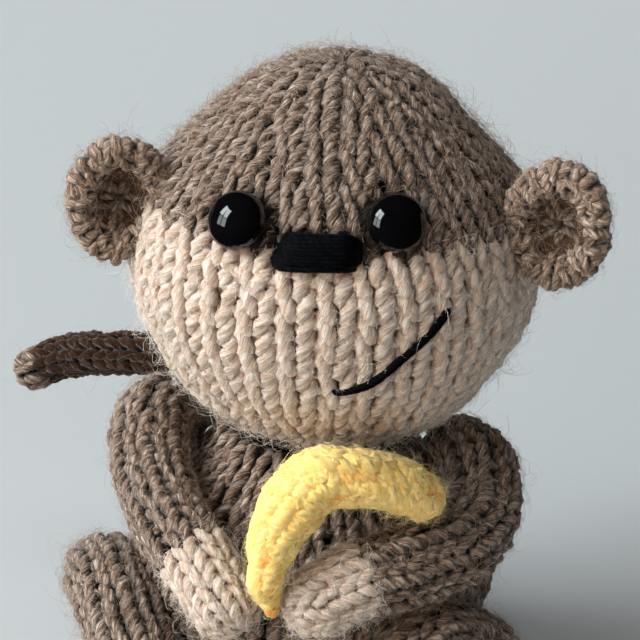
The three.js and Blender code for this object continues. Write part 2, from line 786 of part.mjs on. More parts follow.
function makeLeg(side) {
  const { cover, end, stuffing } = limbPieces(legs[side], []);
  return [
    meshOf(`leg_${side}`, cover, BROWN),
    meshOf(`foot_${side}`, end, CREAM),
    meshOf(`leg_stuffing_${side}`, stuffing, WHITE_FIBRE),
  ];
}

function makeTail() {
  const beside = bodySolid(GAP).subtract(ball(tailSeat.middle, TAIL_RADIUS + 0.15));
  return meshOf('tail', cutBy(limb(tailStops, { sides: 10 }), beside), BROWN);
}

function makeBanana() {
  return meshOf('banana', limb(bananaStops, {}), YELLOW);
}

const monkey = new THREE.Group();
monkey.name = 'knitted_monkey';
monkey.add(...makeBody(), makeNeck(), makeHead());
for (const side of ['right', 'left']) monkey.add(...makeArm(side), ...makeLeg(side));
monkey.add(makeTail(), makeBanana());

export default monkey;
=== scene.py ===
"""Looks of a hand-knitted toy monkey that sits and hugs a knitted banana.

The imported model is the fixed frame. Every cover is knitted again here: each row of
stitches is one closed strand of three-ply yarn that loops over a smooth form, and the
forms follow the same sizes and routes as the solids. Lengths in the classes are in
millimetres, and every mesh is made in metres in the row's frame.
"""

from __future__ import annotations

import logging
import math
from abc import ABC, abstractmethod
from dataclasses import dataclass, field, replace
from enum import Enum
from typing import ClassVar

import bmesh
import bpy
import numpy as np
from bmesh.types import BMesh
from bpy.types import ID, Curve, Material, Mesh, Node, NodeSocket, Object
from mathutils import Matrix, Quaternion, Vector


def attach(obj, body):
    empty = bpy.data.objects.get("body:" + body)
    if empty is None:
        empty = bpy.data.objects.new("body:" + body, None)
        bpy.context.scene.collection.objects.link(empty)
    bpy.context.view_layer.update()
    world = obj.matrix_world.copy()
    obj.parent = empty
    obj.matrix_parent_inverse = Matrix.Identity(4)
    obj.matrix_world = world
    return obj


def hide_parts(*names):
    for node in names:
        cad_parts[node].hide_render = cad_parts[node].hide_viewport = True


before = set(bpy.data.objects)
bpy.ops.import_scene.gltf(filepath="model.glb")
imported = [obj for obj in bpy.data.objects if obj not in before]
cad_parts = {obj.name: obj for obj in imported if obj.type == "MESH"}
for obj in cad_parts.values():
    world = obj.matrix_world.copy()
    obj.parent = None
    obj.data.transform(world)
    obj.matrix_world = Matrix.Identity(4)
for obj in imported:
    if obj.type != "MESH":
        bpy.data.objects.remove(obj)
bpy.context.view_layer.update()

LOG = logging.getLogger("monkey")
Colour = tuple[float, float, float, float]
Point = tuple[float, float, float]
MM = 0.001
TINY = 1e-6
IMAGE_SIDE = 640
HEAD_CENTRE = np.array([1.1, 0.0, 58.074])
HEAD_TURN = 6.0  # Degrees about the upright.
HEAD_RADIUS = 23.8
CROWN_DRAW_IN = 2.3
CROWN_DRAW_IN_ANGLE = 45  # Degrees from the top, as the spreads below.
CROWN_DRAW_IN_SPREAD = 28
TOP_DROP = 0.9
TOP_DROP_SPREAD = 20
BODY_RADIUS = 21.9
BODY_HEIGHT = 35.6
FULL_ROUND = 32  # Stitches round the head and the body.
SHADE_OFF = -1.9  # The dark skin of painted shade behind the loops, under the surface of the head or the body.
STUFFING_OFF = -2.6
LEAST_GIRTH = 6.0  # Keeps steps round a form finite near its poles.
BAKED_STRANDS = 0.94  # A bake map holds the strands up to here, and the skins above.


class Side(Enum):
    """The toy's own side that a paired piece is on."""

    RIGHT = "right"
    LEFT = "left"

    @property
    def sign(self) -> float:
        """Which way the side lies along X."""
        return -1.0 if self is Side.RIGHT else 1.0


class Walk(Enum):
    """Which way the V of a stitch opens along its form."""

    TO_END = 1.0
    TO_START = -1.0


@dataclass(frozen=True)
class Layer:
    """A colour that shows where a value passes a smooth step."""

    value: NodeSocket
    low: float
    high: float
    share: float
    colour: Colour


class NodeBoard:
    """A material's node tree, with short calls for what the finishes need."""

    def __init__(self, name: str) -> None:
        """Starts a new material.

        Args:
            name: The material's name.
        """
        self.material = bpy.data.materials.new(name)
        self.material.use_nodes = True
        self.tree = self.material.node_tree
        self.shader = self.tree.nodes["Principled BSDF"]

    def add(self, kind: str, **settings: object) -> Node:
        """Adds a node and sets its properties.

        Args:
            kind: The node's type name in Blender.
            **settings: Properties of the node.

        Returns:
            The new node.
        """
        node = self.tree.nodes.new(kind)
        for key, value in settings.items():
            setattr(node, key, value)
        return node

    def link(self, source: NodeSocket, target: NodeSocket) -> None:
        """Joins an output to an input."""
        self.tree.links.new(source, target)

    def maths(self, operation: str, first: object, second: object = 0.0) -> NodeSocket:
        """One step of arithmetic.

        Args:
            operation: The Math node's operation.
            first: A socket or a number.
            second: A socket or a number.

        Returns:
            The result's socket.
        """
        node = self.add("ShaderNodeMath", operation=operation)
        for slot, value in zip(node.inputs, (first, second)):
            if isinstance(value, NodeSocket):
                self.link(value, slot)
            else:
                slot.default_value = value
        return node.outputs[0]

    def place(self) -> NodeSocket:
        """The socket of the Object coordinates."""
        return self.add("ShaderNodeTexCoord").outputs["Object"]

    def stretched(self, vector: NodeSocket, scale: Point) -> NodeSocket:
        """A vector with each axis scaled.

        Args:
            vector: The vector.
            scale: What each axis is multiplied by.

        Returns:
            The scaled vector's socket.
        """
        node = self.add("ShaderNodeMapping")
        node.inputs["Scale"].default_value = scale
        self.link(vector, node.inputs["Vector"])
        return node.outputs["Vector"]

    def noise(self, vector: NodeSocket, scale: float, detail: float) -> NodeSocket:
        """Noise between 0 and 1 on a vector.

        Args:
            vector: Where it is read.
            scale: Waves in a unit of the vector.
            detail: Finer octaves.

        Returns:
            The noise's socket.
        """
        node = self.add("ShaderNodeTexNoise")
        node.inputs["Scale"].default_value = scale
        node.inputs["Detail"].default_value = detail
        self.link(vector, node.inputs["Vector"])
        return node.outputs["Fac"]

    def ramp(self, value: NodeSocket, low: float, high: float) -> NodeSocket:
        """A smooth step from 0 at low to 1 at high.

        Args:
            value: The input.
            low: Where the step starts.
            high: Where it ends.

        Returns:
            The step's socket.
        """
        node = self.add("ShaderNodeMapRange", interpolation_type="SMOOTHSTEP")
        node.inputs["From Min"].default_value = low
        node.inputs["From Max"].default_value = high
        self.link(value, node.inputs["Value"])
        return node.outputs["Result"]

    def mix(self, factor: NodeSocket, first: object, second: object) -> NodeSocket:
        """Mixes two colours.

        Args:
            factor: 0 gives the first, 1 the second.
            first: A socket or a colour.
            second: A socket or a colour.

        Returns:
            The mixed colour's socket.
        """
        node = self.add("ShaderNodeMix", data_type="RGBA")
        self.link(factor, node.inputs["Factor"])
        for slot, value in ((node.inputs["A"], first), (node.inputs["B"], second)):
            if isinstance(value, NodeSocket):
                self.link(value, slot)
            else:
                slot.default_value = value
        return node.outputs["Result"]

    def lay(self, colour: NodeSocket, layer: Layer) -> NodeSocket:
        """Lays a layer over a colour.

        Args:
            colour: What lies under it.
            layer: The layer.

        Returns:
            The mixed colour's socket.
        """
        amount = self.maths("MULTIPLY", self.ramp(layer.value, layer.low, layer.high), layer.share)
        return self.mix(amount, colour, layer.colour)

    def surface(self, colour: NodeSocket, roughness: float, specular: float) -> None:
        """Gives the shader its colour and its shine.

        Args:
            colour: The colour's socket.
            roughness: The shader's roughness.
            specular: The shader's specular level.
        """
        self.link(colour, self.shader.inputs["Base Color"])
        self.shader.inputs["Roughness"].default_value = roughness
        self.shader.inputs["Specular IOR Level"].default_value = specular

    def bump(self, height: NodeSocket, distance: float, strength: float) -> None:
        """Gives the shader a bump.

        Args:
            height: The height's socket.
            distance: The height of 1, in metres.
            strength: How much of it shows.
        """
        node = self.add("ShaderNodeBump")
        node.inputs["Distance"].default_value = distance
        node.inputs["Strength"].default_value = strength
        self.link(height, node.inputs["Height"])
        self.link(node.outputs["Normal"], self.shader.inputs["Normal"])


def rgb(red: int, green: int, blue: int) -> Colour:
    """A screen colour as Blender's linear one.

    Args:
        red: 0 to 255.
        green: 0 to 255.
        blue: 0 to 255.

    Returns:
        The linear colour with an alpha of 1.
    """

    def linear(value: int) -> float:
        """One channel."""
        share = value / 255
        return share / 12.92 if share <= 0.04045 else ((share + 0.055) / 1.055) ** 2.4

    return (linear(red), linear(green), linear(blue), 1.0)


class Finish(ABC):
    """A way that a surface looks."""

    @abstractmethod
    def build(self) -> Material:
        """Makes the material.

        Returns:
            The finished material.
        """


@dataclass(frozen=True)
class YarnFinish(Finish):
    """Spun yarn of mixed fibres. The colour follows the strand's own length and twist, and painted shade
    darkens it in the gaps between the loops, on the strands' sides and in the grooves between the plies.
    """

    name: str
    base: Colour
    pale: Colour
    dark: Colour
    fleck: Colour
    # The colour of the painted shade in the gaps between the loops.
    gap_shade: Colour
    gap_shade_share: float = 0.7
    gap_shade_from: float = 0.8
    fleck_share: float = 0.45
    heather: float = 0.22
    # How much painted shade darkens the grooves between the plies.
    groove: float = 0.5
    relief: float = 1.0
    sheen: float = 0.25
    roughness: float = 0.92
    specular: float = 0.1
    PLIES: ClassVar[float] = 4.0
    SPIN: ClassVar[float] = 0.55
    STRAND_RADIUS: ClassVar[float] = 1.3
    STREAKS: ClassVar[Point] = (0.4, 2.0, 2.0)
    BLENDS: ClassVar[Point] = (0.3, 0.7, 0.7)
    PATCH_SCALE: ClassVar[float] = 850.0
    NAP_SCALE: ClassVar[float] = 4600.0
    BUMP: ClassVar[float] = 0.00024

    def build(self) -> Material:
        """See Finish."""
        board = NodeBoard(self.name)
        uv = board.add("ShaderNodeUVMap", uv_map="Yarn")
        parts = board.add("ShaderNodeSeparateXYZ")
        board.link(uv.outputs["UV"], parts.inputs["Vector"])
        along = parts.outputs["X"]
        angle = board.maths("MULTIPLY", parts.outputs["Y"], math.tau)
        angle = board.maths("ADD", angle, board.maths("MULTIPLY", along, self.SPIN))
        ply = board.maths("COSINE", board.maths("MULTIPLY", angle, self.PLIES))
        spot = board.add("ShaderNodeCombineXYZ")
        board.link(along, spot.inputs["X"])
        for axis, wave in (("Y", "COSINE"), ("Z", "SINE")):
            turned = board.maths("MULTIPLY", board.maths(wave, angle), self.STRAND_RADIUS)
            board.link(turned, spot.inputs[axis])
        fibre = board.noise(board.stretched(spot.outputs["Vector"], self.STREAKS), scale=2.5, detail=4.0)
        blend = board.noise(board.stretched(spot.outputs["Vector"], self.BLENDS), scale=1.0, detail=2.0)
        place = board.place()
        patch = board.noise(place, self.PATCH_SCALE, detail=3.0)
        nap = board.noise(place, self.NAP_SCALE, detail=3.0)
        # The painted light at each point: 1 is painted lit, 0 is painted in full shade.
        painted_light = board.add("ShaderNodeAttribute", attribute_name="Shade").outputs["Fac"]
        colour = board.mix(board.ramp(fibre, 0.32, 0.54), self.dark, self.base)
        for layer in (
            Layer(fibre, 0.53, 0.68, 0.8, self.pale),
            Layer(blend, 0.5, 0.74, 0.6, self.pale),
            Layer(patch, 0.46, 0.66, self.fleck_share, self.fleck),
            Layer(nap, 0.52, 0.36, self.heather, self.dark),
            Layer(nap, 0.52, 0.7, self.heather, self.pale),
            # Painted shade in the grooves between the plies.
            Layer(ply, -0.1, -0.95, self.groove, self.dark),
            # Painted shade in the gaps and on the strands' sides, from the Shade map.
            Layer(painted_light, self.gap_shade_from, 0.1, self.gap_shade_share, self.gap_shade),
        ):
            colour = board.lay(colour, layer)
        board.surface(colour, self.roughness, self.specular)
        board.shader.inputs["Sheen Weight"].default_value = self.sheen
        board.shader.inputs["Sheen Roughness"].default_value = 0.4
        fine = board.maths("ADD", board.maths("MULTIPLY", nap, 0.5), fibre)
        height = board.maths("ADD", fine, board.maths("MULTIPLY", ply, 0.4))
        board.bump(height, self.BUMP * self.relief, strength=0.75)
        return board.material


@dataclass(frozen=True)
class PlainYarnFinish(Finish):
    """Loose fibre, or a plain skin under the loops; the dark skins under the covers are painted shade that
    shows between the loops.
    """

    name: str
    base: Colour
    deepest: float = 0.55
    CLOUD_SCALE: ClassVar[float] = 900.0
    BUMP: ClassVar[float] = 0.0004

    def build(self) -> Material:
        """See Finish."""
        board = NodeBoard(self.name)
        cloud = board.noise(board.place(), self.CLOUD_SCALE, detail=3.0)
        darker = tuple(self.deepest * part for part in self.base[:3]) + (1.0,)
        board.surface(board.mix(cloud, darker, self.base), roughness=0.95, specular=0.1)
        board.bump(cloud, self.BUMP, strength=0.8)
        return board.material


@dataclass(frozen=True)
class MouldedFinish(Finish):
    """Moulded plastic, polished or matt."""

    name: str
    base: Colour
    roughness: float
    CLOUD_SCALE: ClassVar[float] = 420.0
    BUMP: ClassVar[float] = 0.00001

    def build(self) -> Material:
        """See Finish."""
        board = NodeBoard(self.name)
        cloud = board.noise(board.place(), self.CLOUD_SCALE, detail=2.0)
        paler = tuple(min(1.0, 1.12 * part + 0.002) for part in self.base[:3]) + (1.0,)
        board.surface(board.mix(cloud, self.base, paler), self.roughness, specular=0.6)
        board.bump(cloud, self.BUMP, strength=0.15)
        return board.material


@dataclass(frozen=True)
class GroundFinish(Finish):
    """The plain pale ground and backdrop."""

    name: str
    near: Colour
    far: Colour

    def build(self) -> Material:
        """See Finish."""
        board = NodeBoard(self.name)
        parts = board.add("ShaderNodeSeparateXYZ")
        board.link(board.place(), parts.inputs["Vector"])
        fade = board.ramp(parts.outputs["Y"], -0.05, 0.5)
        board.surface(board.mix(fade, self.near, self.far), roughness=0.9, specular=0.1)
        return board.material


@dataclass(frozen=True)
class Wool:
    """One yarn of the toy: its strands, the dark skin of painted shade behind them and its loose fibres."""

    slot: str
    yarn: Material
    shade: Material
    fuzz: Material | None = None


class Finishes:
    """Every finish of the toy, each made once."""

    def __init__(self) -> None:
        """Builds the materials."""
        # brown_shade, ear_shade, cream_shade and yellow_shade are dark skins of painted shade that show
        # between the loops.
        brown_shade = PlainYarnFinish("brown_shade", rgb(20, 12, 8)).build()
        brown_fuzz = PlainYarnFinish("brown_fuzz", rgb(184, 163, 146), 0.8).build()
        brown = YarnFinish(
            "brown_yarn",
            base=rgb(160, 136, 120),
            pale=rgb(236, 220, 206),
            dark=rgb(50, 32, 22),
            fleck=rgb(106, 76, 57),
            gap_shade=rgb(16, 9, 6),
            gap_shade_share=0.95,
            gap_shade_from=1.0,
            fleck_share=0.55,
        )
        # The ears are the same brown yarn, painted paler as painted light on them, with lighter painted
        # shade in their gaps.
        ear = YarnFinish(
            "ear_painted_light_yarn",
            base=rgb(190, 163, 142),
            pale=rgb(244, 226, 210),
            dark=rgb(64, 43, 31),
            fleck=rgb(118, 85, 64),
            gap_shade=rgb(30, 19, 13),
            gap_shade_share=0.85,
            gap_shade_from=0.95,
            fleck_share=0.6,
        )
        # The tail is the same brown yarn, painted much darker as painted shade on it.
        tail = YarnFinish(
            "tail_painted_shade_yarn",
            base=rgb(54, 32, 17),
            pale=rgb(80, 51, 32),
            dark=rgb(28, 16, 9),
            fleck=rgb(46, 27, 16),
            gap_shade=rgb(14, 8, 4),
            gap_shade_share=0.85,
        )
        cream = YarnFinish(
            "cream_yarn",
            base=rgb(220, 206, 193),
            pale=rgb(243, 236, 226),
            dark=rgb(176, 142, 119),
            fleck=rgb(206, 176, 154),
            gap_shade=rgb(140, 98, 70),
            gap_shade_share=0.58,
            gap_shade_from=0.75,
            fleck_share=0.6,
            groove=0.35,
            relief=0.85,
        )
        yellow = YarnFinish(
            "yellow_yarn",
            base=rgb(255, 225, 142),
            pale=rgb(255, 236, 180),
            dark=rgb(255, 208, 104),
            fleck=rgb(255, 196, 86),
            gap_shade=rgb(255, 158, 44),
            gap_shade_share=0.75,
            gap_shade_from=0.7,
            groove=0.2,
            relief=0.45,
            fleck_share=0.35,
        )
        black = YarnFinish(
            "black_thread",
            base=rgb(2, 3, 5),
            # Here the pale streaks are bluish painted highlights along the threads.
            pale=rgb(20, 24, 35),
            dark=rgb(1, 1, 2),
            fleck=rgb(2, 3, 5),
            gap_shade=rgb(1, 1, 2),
            sheen=0.0,
            roughness=0.5,
            specular=0.13,
        )
        self.brown = Wool("brown_yarn", brown.build(), brown_shade, brown_fuzz)
        ear_shade = PlainYarnFinish("ear_shade", rgb(84, 62, 47)).build()
        self.ear = Wool("brown_yarn", ear.build(), ear_shade, brown_fuzz)
        self.tail = Wool("brown_yarn", tail.build(), brown_shade, brown_fuzz)
        cream_shade = PlainYarnFinish("cream_shade", rgb(168, 124, 90)).build()
        pale_fuzz = PlainYarnFinish("pale_fuzz", rgb(250, 242, 232), 0.85).build()
        self.cream = Wool("cream_yarn", cream.build(), cream_shade, pale_fuzz)
        yellow_shade = PlainYarnFinish("yellow_shade", rgb(246, 184, 64)).build()
        yellow_fuzz = PlainYarnFinish("yellow_fuzz", rgb(255, 240, 176), 0.9).build()
        self.yellow = Wool("yellow_yarn", yellow.build(), yellow_shade, yellow_fuzz)
        black_shade = PlainYarnFinish("black_shade", rgb(10, 10, 14)).build()
        self.black = Wool("black_thread", black.build(), black_shade)
        self.fibre_fill = PlainYarnFinish("fibre_fill", rgb(238, 236, 230)).build()
        self.eye = MouldedFinish("eye_plastic", rgb(3, 3, 5), 0.05).build()
        self.washer = MouldedFinish("washer_plastic", rgb(216, 216, 212), 0.5).build()
        self.ground = GroundFinish("ground", rgb(195, 198, 200), rgb(201, 205, 207)).build()


def distances(points: np.ndarray) -> np.ndarray:
    """How far along its row each point lies."""
    steps = np.linalg.norm(np.diff(points, axis=0), axis=1)
    return np.concatenate([[0.0], np.cumsum(steps)])


def read_between(rows: np.ndarray, reach: np.ndarray, at: np.ndarray) -> np.ndarray:
    """Values read between samples.

    Args:
        rows: One sample a row.
        reach: Where each sample lies.
        at: Where to read.

    Returns:
        One row for each place.
    """
    return np.stack([np.interp(at, reach, column) for column in rows.T], axis=1)


class Form(ABC):
    """A smooth surface that is walked from its first pole to its last."""

    NARROWEST: ClassVar[float] = 0.02
    length: float

    @abstractmethod
    def girth(self, along: float) -> float:
        """The distance round the form.

        Args:
            along: Distance from the first pole.

        Returns:
            The girth there.
        """

    @abstractmethod
    def place(self, around: np.ndarray, along: np.ndarray, off: np.ndarray) -> np.ndarray:
        """Points on or off the form.

        Args:
            around: Turns round the form.
            along: Distances from the first pole.
            off: Heights over the surface.

        Returns:
            The points, one row each.
        """


@dataclass
class Placement:
    """Where a turned form stands."""

    matrix: np.ndarray = field(default_factory=lambda: np.eye(3))
    origin: np.ndarray = field(default_factory=lambda: np.zeros(3))

    def apply(self, points: np.ndarray) -> np.ndarray:
        """Points in the row's frame."""
        return points @ self.matrix.T + self.origin


class TurnedForm(Form):
    """A turned shape, from an outline of radius and height."""

    PROBE: ClassVar[float] = 0.05

    def __init__(self, outline: np.ndarray, placement: Placement | None = None) -> None:
        """Measures the outline.

        Args:
            outline: Rows of radius and height, closely spaced, from the first pole on.
            placement: Where the shape stands.
        """
        self.outline = outline
        self.reach = distances(outline)
        self.length = float(self.reach[-1])
        self.placement = placement or Placement()

    def girth(self, along: float) -> float:
        """See Form."""
        return math.tau * float(np.interp(along, self.reach, self.outline[:, 0]))

    def place(self, around: np.ndarray, along: np.ndarray, off: np.ndarray) -> np.ndarray:
        """See Form."""
        radius, height = read_between(self.outline, self.reach, along).T
        ahead = read_between(self.outline, self.reach, along + self.PROBE)
        behind = read_between(self.outline, self.reach, along - self.PROBE)
        across, upward = (ahead - behind).T
        slope = np.hypot(across, upward) + 1e-9
        radius = np.maximum(radius + off * upward / slope, self.NARROWEST)
        height = height - off * across / slope
        angle = math.tau * around
        local = np.stack([radius * np.sin(angle), -radius * np.cos(angle), height], axis=1)
        return self.placement.apply(local)


class TubeForm(Form):
    """A tube along a route with a round cap at each end."""

    SAMPLES: ClassVar[int] = 240
    STEEP: ClassVar[float] = 0.9

    def __init__(self, stops: np.ndarray, turn: float = 0.0) -> None:
        """Samples the route.

        Args:
            stops: Rows of x, y, z and radius.
            turn: Degrees that the rounds start from the upper side.
        """
        share = np.linspace(0, 1, self.SAMPLES + 1)
        self.points = smooth_route(stops[:, :3], share)
        place = share * (len(stops) - 1)
        before = np.minimum(place.astype(int), len(stops) - 2)
        part = place - before
        part = part * part * (3 - 2 * part)
        self.radii = stops[before, 3] * (1 - part) + stops[before + 1, 3] * part
        self.reach = distances(self.points)
        self.tangents = np.gradient(self.points, self.reach, axis=0)
        self.tangents /= np.linalg.norm(self.tangents, axis=1, keepdims=True)
        self.sides = self._carry_side(turn)
        self.others = np.cross(self.tangents, self.sides)
        self.first_cap = self.radii[0] * math.pi / 2
        self.last_cap = self.radii[-1] * math.pi / 2
        self.length = float(self.first_cap + self.reach[-1] + self.last_cap)

    def _carry_side(self, turn: float) -> np.ndarray:
        """A side direction at each point that turns as little as it can.

        Args:
            turn: Degrees that it starts from the upper side.

        Returns:
            One direction a row.
        """
        start = np.array([0.0, 0.0, 1.0])
        first = self.tangents[0]
        if abs(first[2]) > self.STEEP:
            start = np.array([1.0, 0.0, 0.0])
        side = start - first * (start @ first)
        side /= np.linalg.norm(side)
        angle = math.radians(turn)
        side = side * math.cos(angle) + np.cross(first, side) * math.sin(angle)
        sides = [side]
        for tangent in self.tangents[1:]:
            side = side - tangent * (side @ tangent)
            side = side / np.linalg.norm(side)
            sides.append(side)
        return np.array(sides)

    def girth(self, along: float) -> float:
        """See Form."""
        first, last = self.radii[0], self.radii[-1]
        if along < self.first_cap:
            return math.tau * first * math.sin(max(along, 0.0) / first)
        past = along - self.first_cap - self.reach[-1]
        if past > 0:
            return math.tau * last * math.cos(min(past / last, math.pi / 2))
        return math.tau * float(np.interp(along - self.first_cap, self.reach, self.radii))

    def place(self, around: np.ndarray, along: np.ndarray, off: np.ndarray) -> np.ndarray:
        """See Form."""
        inner = np.clip(along - self.first_cap, 0, self.reach[-1])
        lines = (self.points, self.sides, self.others, self.tangents)
        centre, side, other, tangent = (read_between(line, self.reach, inner) for line in lines)
        radius = np.interp(inner, self.reach, self.radii) + off
        early = np.clip((self.first_cap - along) / self.radii[0], 0, math.pi / 2)
        late = np.clip((along - self.first_cap - self.reach[-1]) / self.radii[-1], 0, math.pi / 2)
        lean = late - early
        angle = math.tau * around
        out = side * np.cos(angle)[:, None] + other * np.sin(angle)[:, None]
        flat = (radius * np.cos(lean))[:, None]
        ahead = (radius * np.sin(lean))[:, None]
        return centre + out * np.maximum(flat, self.NARROWEST) + tangent * ahead


def smooth_route(stops: np.ndarray, shares: np.ndarray) -> np.ndarray:
    """A centripetal Catmull-Rom route through stops.

    Args:
        stops: One stop a row.
        shares: Places along the route, from 0 to 1.

    Returns:
        One point for each place.
    """
    before = 2 * stops[0] - stops[1]
    after = 2 * stops[-1] - stops[-2]
    held = np.vstack([before, stops, after])
    points = []
    for place in shares * (len(stops) - 1):
        index = min(int(place), len(stops) - 2)
        part = place - index
        corner = held[index : index + 4]
        knots = [0.0]
        for a, b in zip(corner, corner[1:]):
            knots.append(knots[-1] + max(float(np.linalg.norm(b - a)), TINY) ** 0.5)
        t = knots[1] + part * (knots[2] - knots[1])

        def blend(i: int, j: int, p: np.ndarray, q: np.ndarray) -> np.ndarray:
            """One step of the pyramid, between knots i and j."""
            return ((knots[j] - t) * p + (t - knots[i]) * q) / (knots[j] - knots[i])

        a1, a2, a3 = (blend(k, k + 1, corner[k], corner[k + 1]) for k in range(3))
        b1, b2 = blend(0, 2, a1, a2), blend(1, 3, a2, a3)
        points.append(blend(1, 2, b1, b2))
    return np.array(points)


def smooth_outline(stops: np.ndarray, count: int) -> np.ndarray:
    """A smooth outline through stops of radius and height.

    Args:
        stops: One stop a row.
        count: How many points it has.

    Returns:
        Rows of radius and height.
    """
    return smooth_route(np.c_[stops, np.zeros(len(stops))], np.linspace(0, 1, count))[:, :2]


def push_out(points: np.ndarray, centre: np.ndarray, reach: np.ndarray | float) -> np.ndarray:
    """Moves points straight away from a centre until they are far enough.

    Args:
        points: One point a row.
        centre: One centre for all, or one a row.
        reach: The least distance from it.

    Returns:
        The points, moved where they were too near.
    """
    away = points - centre
    distance = np.linalg.norm(away, axis=1)
    scale = np.maximum(distance, reach) / np.maximum(distance, TINY)
    return centre + away * scale[:, None]


class Keeper(ABC):
    """Moves points out of a neighbour's space."""

    @abstractmethod
    def clear(self, points: np.ndarray, margin: float) -> np.ndarray:
        """Moves points off the neighbour.

        Args:
            points: One point a row.
            margin: The least distance from the neighbour's surface.

        Returns:
            The points, moved where they were too near.
        """

    def light(self, points: np.ndarray) -> np.ndarray:
        """How much light reaches points past the neighbour; it is painted into the yarn's colour.

        Args:
            points: One point a row.

        Returns:
            A share for each point.
        """
        return np.ones(len(points))


@dataclass
class GroundKeeper(Keeper):
    """Keeps a piece on the ground."""

    def clear(self, points: np.ndarray, margin: float) -> np.ndarray:
        """See Keeper."""
        points = points.copy()
        points[:, 2] = np.maximum(points[:, 2], margin)
        return points


@dataclass
class BallKeeper(Keeper):
    """Keeps a piece out of a ball."""

    centre: np.ndarray
    radius: float

    def clear(self, points: np.ndarray, margin: float) -> np.ndarray:
        """See Keeper."""
        return push_out(points, self.centre, self.radius + margin)


@dataclass
class PearKeeper(Keeper):
    """Keeps a piece out of the body."""

    outline: np.ndarray

    def clear(self, points: np.ndarray, margin: float) -> np.ndarray:
        """See Keeper."""
        flat = np.hypot(points[:, 0], points[:, 1])
        wall = np.interp(points[:, 2], self.outline[:, 1], self.outline[:, 0])
        scale = np.maximum(flat, wall + margin) / np.maximum(flat, TINY)
        return points * np.stack([scale, scale, np.ones(len(points))], axis=1)


@dataclass
class Dimple(Keeper):
    """Draws the knitting in under an eye or the nose, along a short line, and paints shadow on the yarn
    near it.
    """

    start: np.ndarray
    end: np.ndarray
    out: np.ndarray
    radius: float
    depth: float
    # How dark the painted shadow is at the line.
    shadow: float = 0.8
    FALL: ClassVar[float] = 1.1
    SHADE_FALL: ClassVar[float] = 2.2

    def _near(self, points: np.ndarray, slope: float) -> np.ndarray:
        """How near points lie to the line.

        Args:
            points: One point a row.
            slope: How fast the value falls outside the radius.

        Returns:
            A share for each point, which is 1 inside the radius.
        """
        line = self.end - self.start
        length = max(float(np.linalg.norm(line)), TINY)
        share = np.clip((points - self.start) @ line / length**2, 0, 1)
        away = points - self.start - share[:, None] * line
        flat = away - (away @ self.out)[:, None] * self.out
        near = np.clip(1 + slope - slope * np.linalg.norm(flat, axis=1) / self.radius, 0, 1)
        return near * (np.linalg.norm(away, axis=1) < 3 * self.radius)

    def clear(self, points: np.ndarray, margin: float) -> np.ndarray:
        """See Keeper."""
        near = self._near(points, self.FALL)
        fall = self.depth * near * near * (3 - 2 * near)
        return points - fall[:, None] * self.out

    def light(self, points: np.ndarray) -> np.ndarray:
        """See Keeper."""
        return 1 - self.shadow * self._near(points, self.SHADE_FALL)


@dataclass
class TubeKeeper(Keeper):
    """Keeps a piece out of a tube."""

    tube: TubeForm
    STRIDE: ClassVar[int] = 4

    def clear(self, points: np.ndarray, margin: float) -> np.ndarray:
        """See Keeper."""
        centres = self.tube.points[:: self.STRIDE]
        gaps = np.linalg.norm(points[:, None, :] - centres[None], axis=2)
        nearest = np.argmin(gaps, axis=1)
        return push_out(points, centres[nearest], self.tube.radii[:: self.STRIDE][nearest] + margin)


@dataclass(frozen=True)
class Stitch:
    """The path of the yarn through one stitch, and the strand's own thickness."""

    row: float = 2.33
    wale: float = 4.6
    lean: float = 1.3
    reach: float = 2.2
    depth: float = 0.5
    shingle: float = 0.34
    favour: float = 0.04
    strand: float = 0.88
    swell: float = 0.08
    uneven: float = 0.14
    twist: float = 0.72
    steps: int = 14
    LENGTHS: ClassVar[tuple[str, ...]] = (
        "row", "wale", "reach", "depth", "shingle", "favour", "strand", "uneven",
    )

    @property
    def sink(self) -> float:
        """How far the strand's middle lies under the surface."""
        return self.strand + self.depth + 0.5 * self.shingle - 0.25

    def scaled(self, share: float, **changes: object) -> Stitch:
        """A finer or coarser stitch of the same make.

        Args:
            share: Its size against this one.
            **changes: Values to set after that.

        Returns:
            The new stitch.
        """
        values = {name: getattr(self, name) * share for name in self.LENGTHS}
        return replace(self, **{**values, "twist": self.twist / share, **changes})


def show(thing: Object) -> Object:
    """Links an object to the scene."""
    bpy.context.scene.collection.objects.link(thing)
    return thing


def finish_mesh(work: BMesh, name: str, inward: bool = False) -> Mesh:
    """Ends a piece of work as a smooth mesh.

    Args:
        work: The work, which is freed.
        name: The mesh's name.
        inward: Whether the faces look inwards.

    Returns:
        The mesh.
    """
    bmesh.ops.recalc_face_normals(work, faces=work.faces)
    if inward:
        bmesh.ops.reverse_faces(work, faces=work.faces)
    for face in work.faces:
        face.smooth = True
    mesh = bpy.data.meshes.new(name)
    work.to_mesh(mesh)
    work.free()
    return mesh


def spun(line: list[tuple[float, float]], steps: int, merge: float) -> BMesh:
    """A surface turned about the upright.

    Args:
        line: Its profile as pairs of radius and height.
        steps: How many segments go round.
        merge: Corners nearer than this become one.

    Returns:
        The unfinished work.
    """
    work = bmesh.new()
    verts = [work.verts.new((radius, 0, height)) for radius, height in line]
    edges = [work.edges.new(pair) for pair in zip(verts, verts[1:])]
    bmesh.ops.spin(
        work,
        geom=verts + edges,
        cent=(0, 0, 0),
        axis=(0, 0, 1),
        dvec=(0, 0, 0),
        angle=math.tau,
        steps=steps,
        use_merge=True,
    )
    bmesh.ops.remove_doubles(work, verts=work.verts, dist=merge)
    return work


@dataclass
class Strand:
    """One strand: its points in millimetres, its radii, and whether it closes on itself."""

    points: np.ndarray
    radii: np.ndarray
    closed: bool
    twist: float
    shade: np.ndarray | None = None
    outward: np.ndarray | None = None
    PLIES: ClassVar[int] = 3

    def length(self) -> float:
        """The strand's length."""
        ends = np.roll(self.points, -1, axis=0) if self.closed else self.points[1:]
        starts = self.points if self.closed else self.points[:-1]
        return float(np.linalg.norm(ends - starts, axis=1).sum())


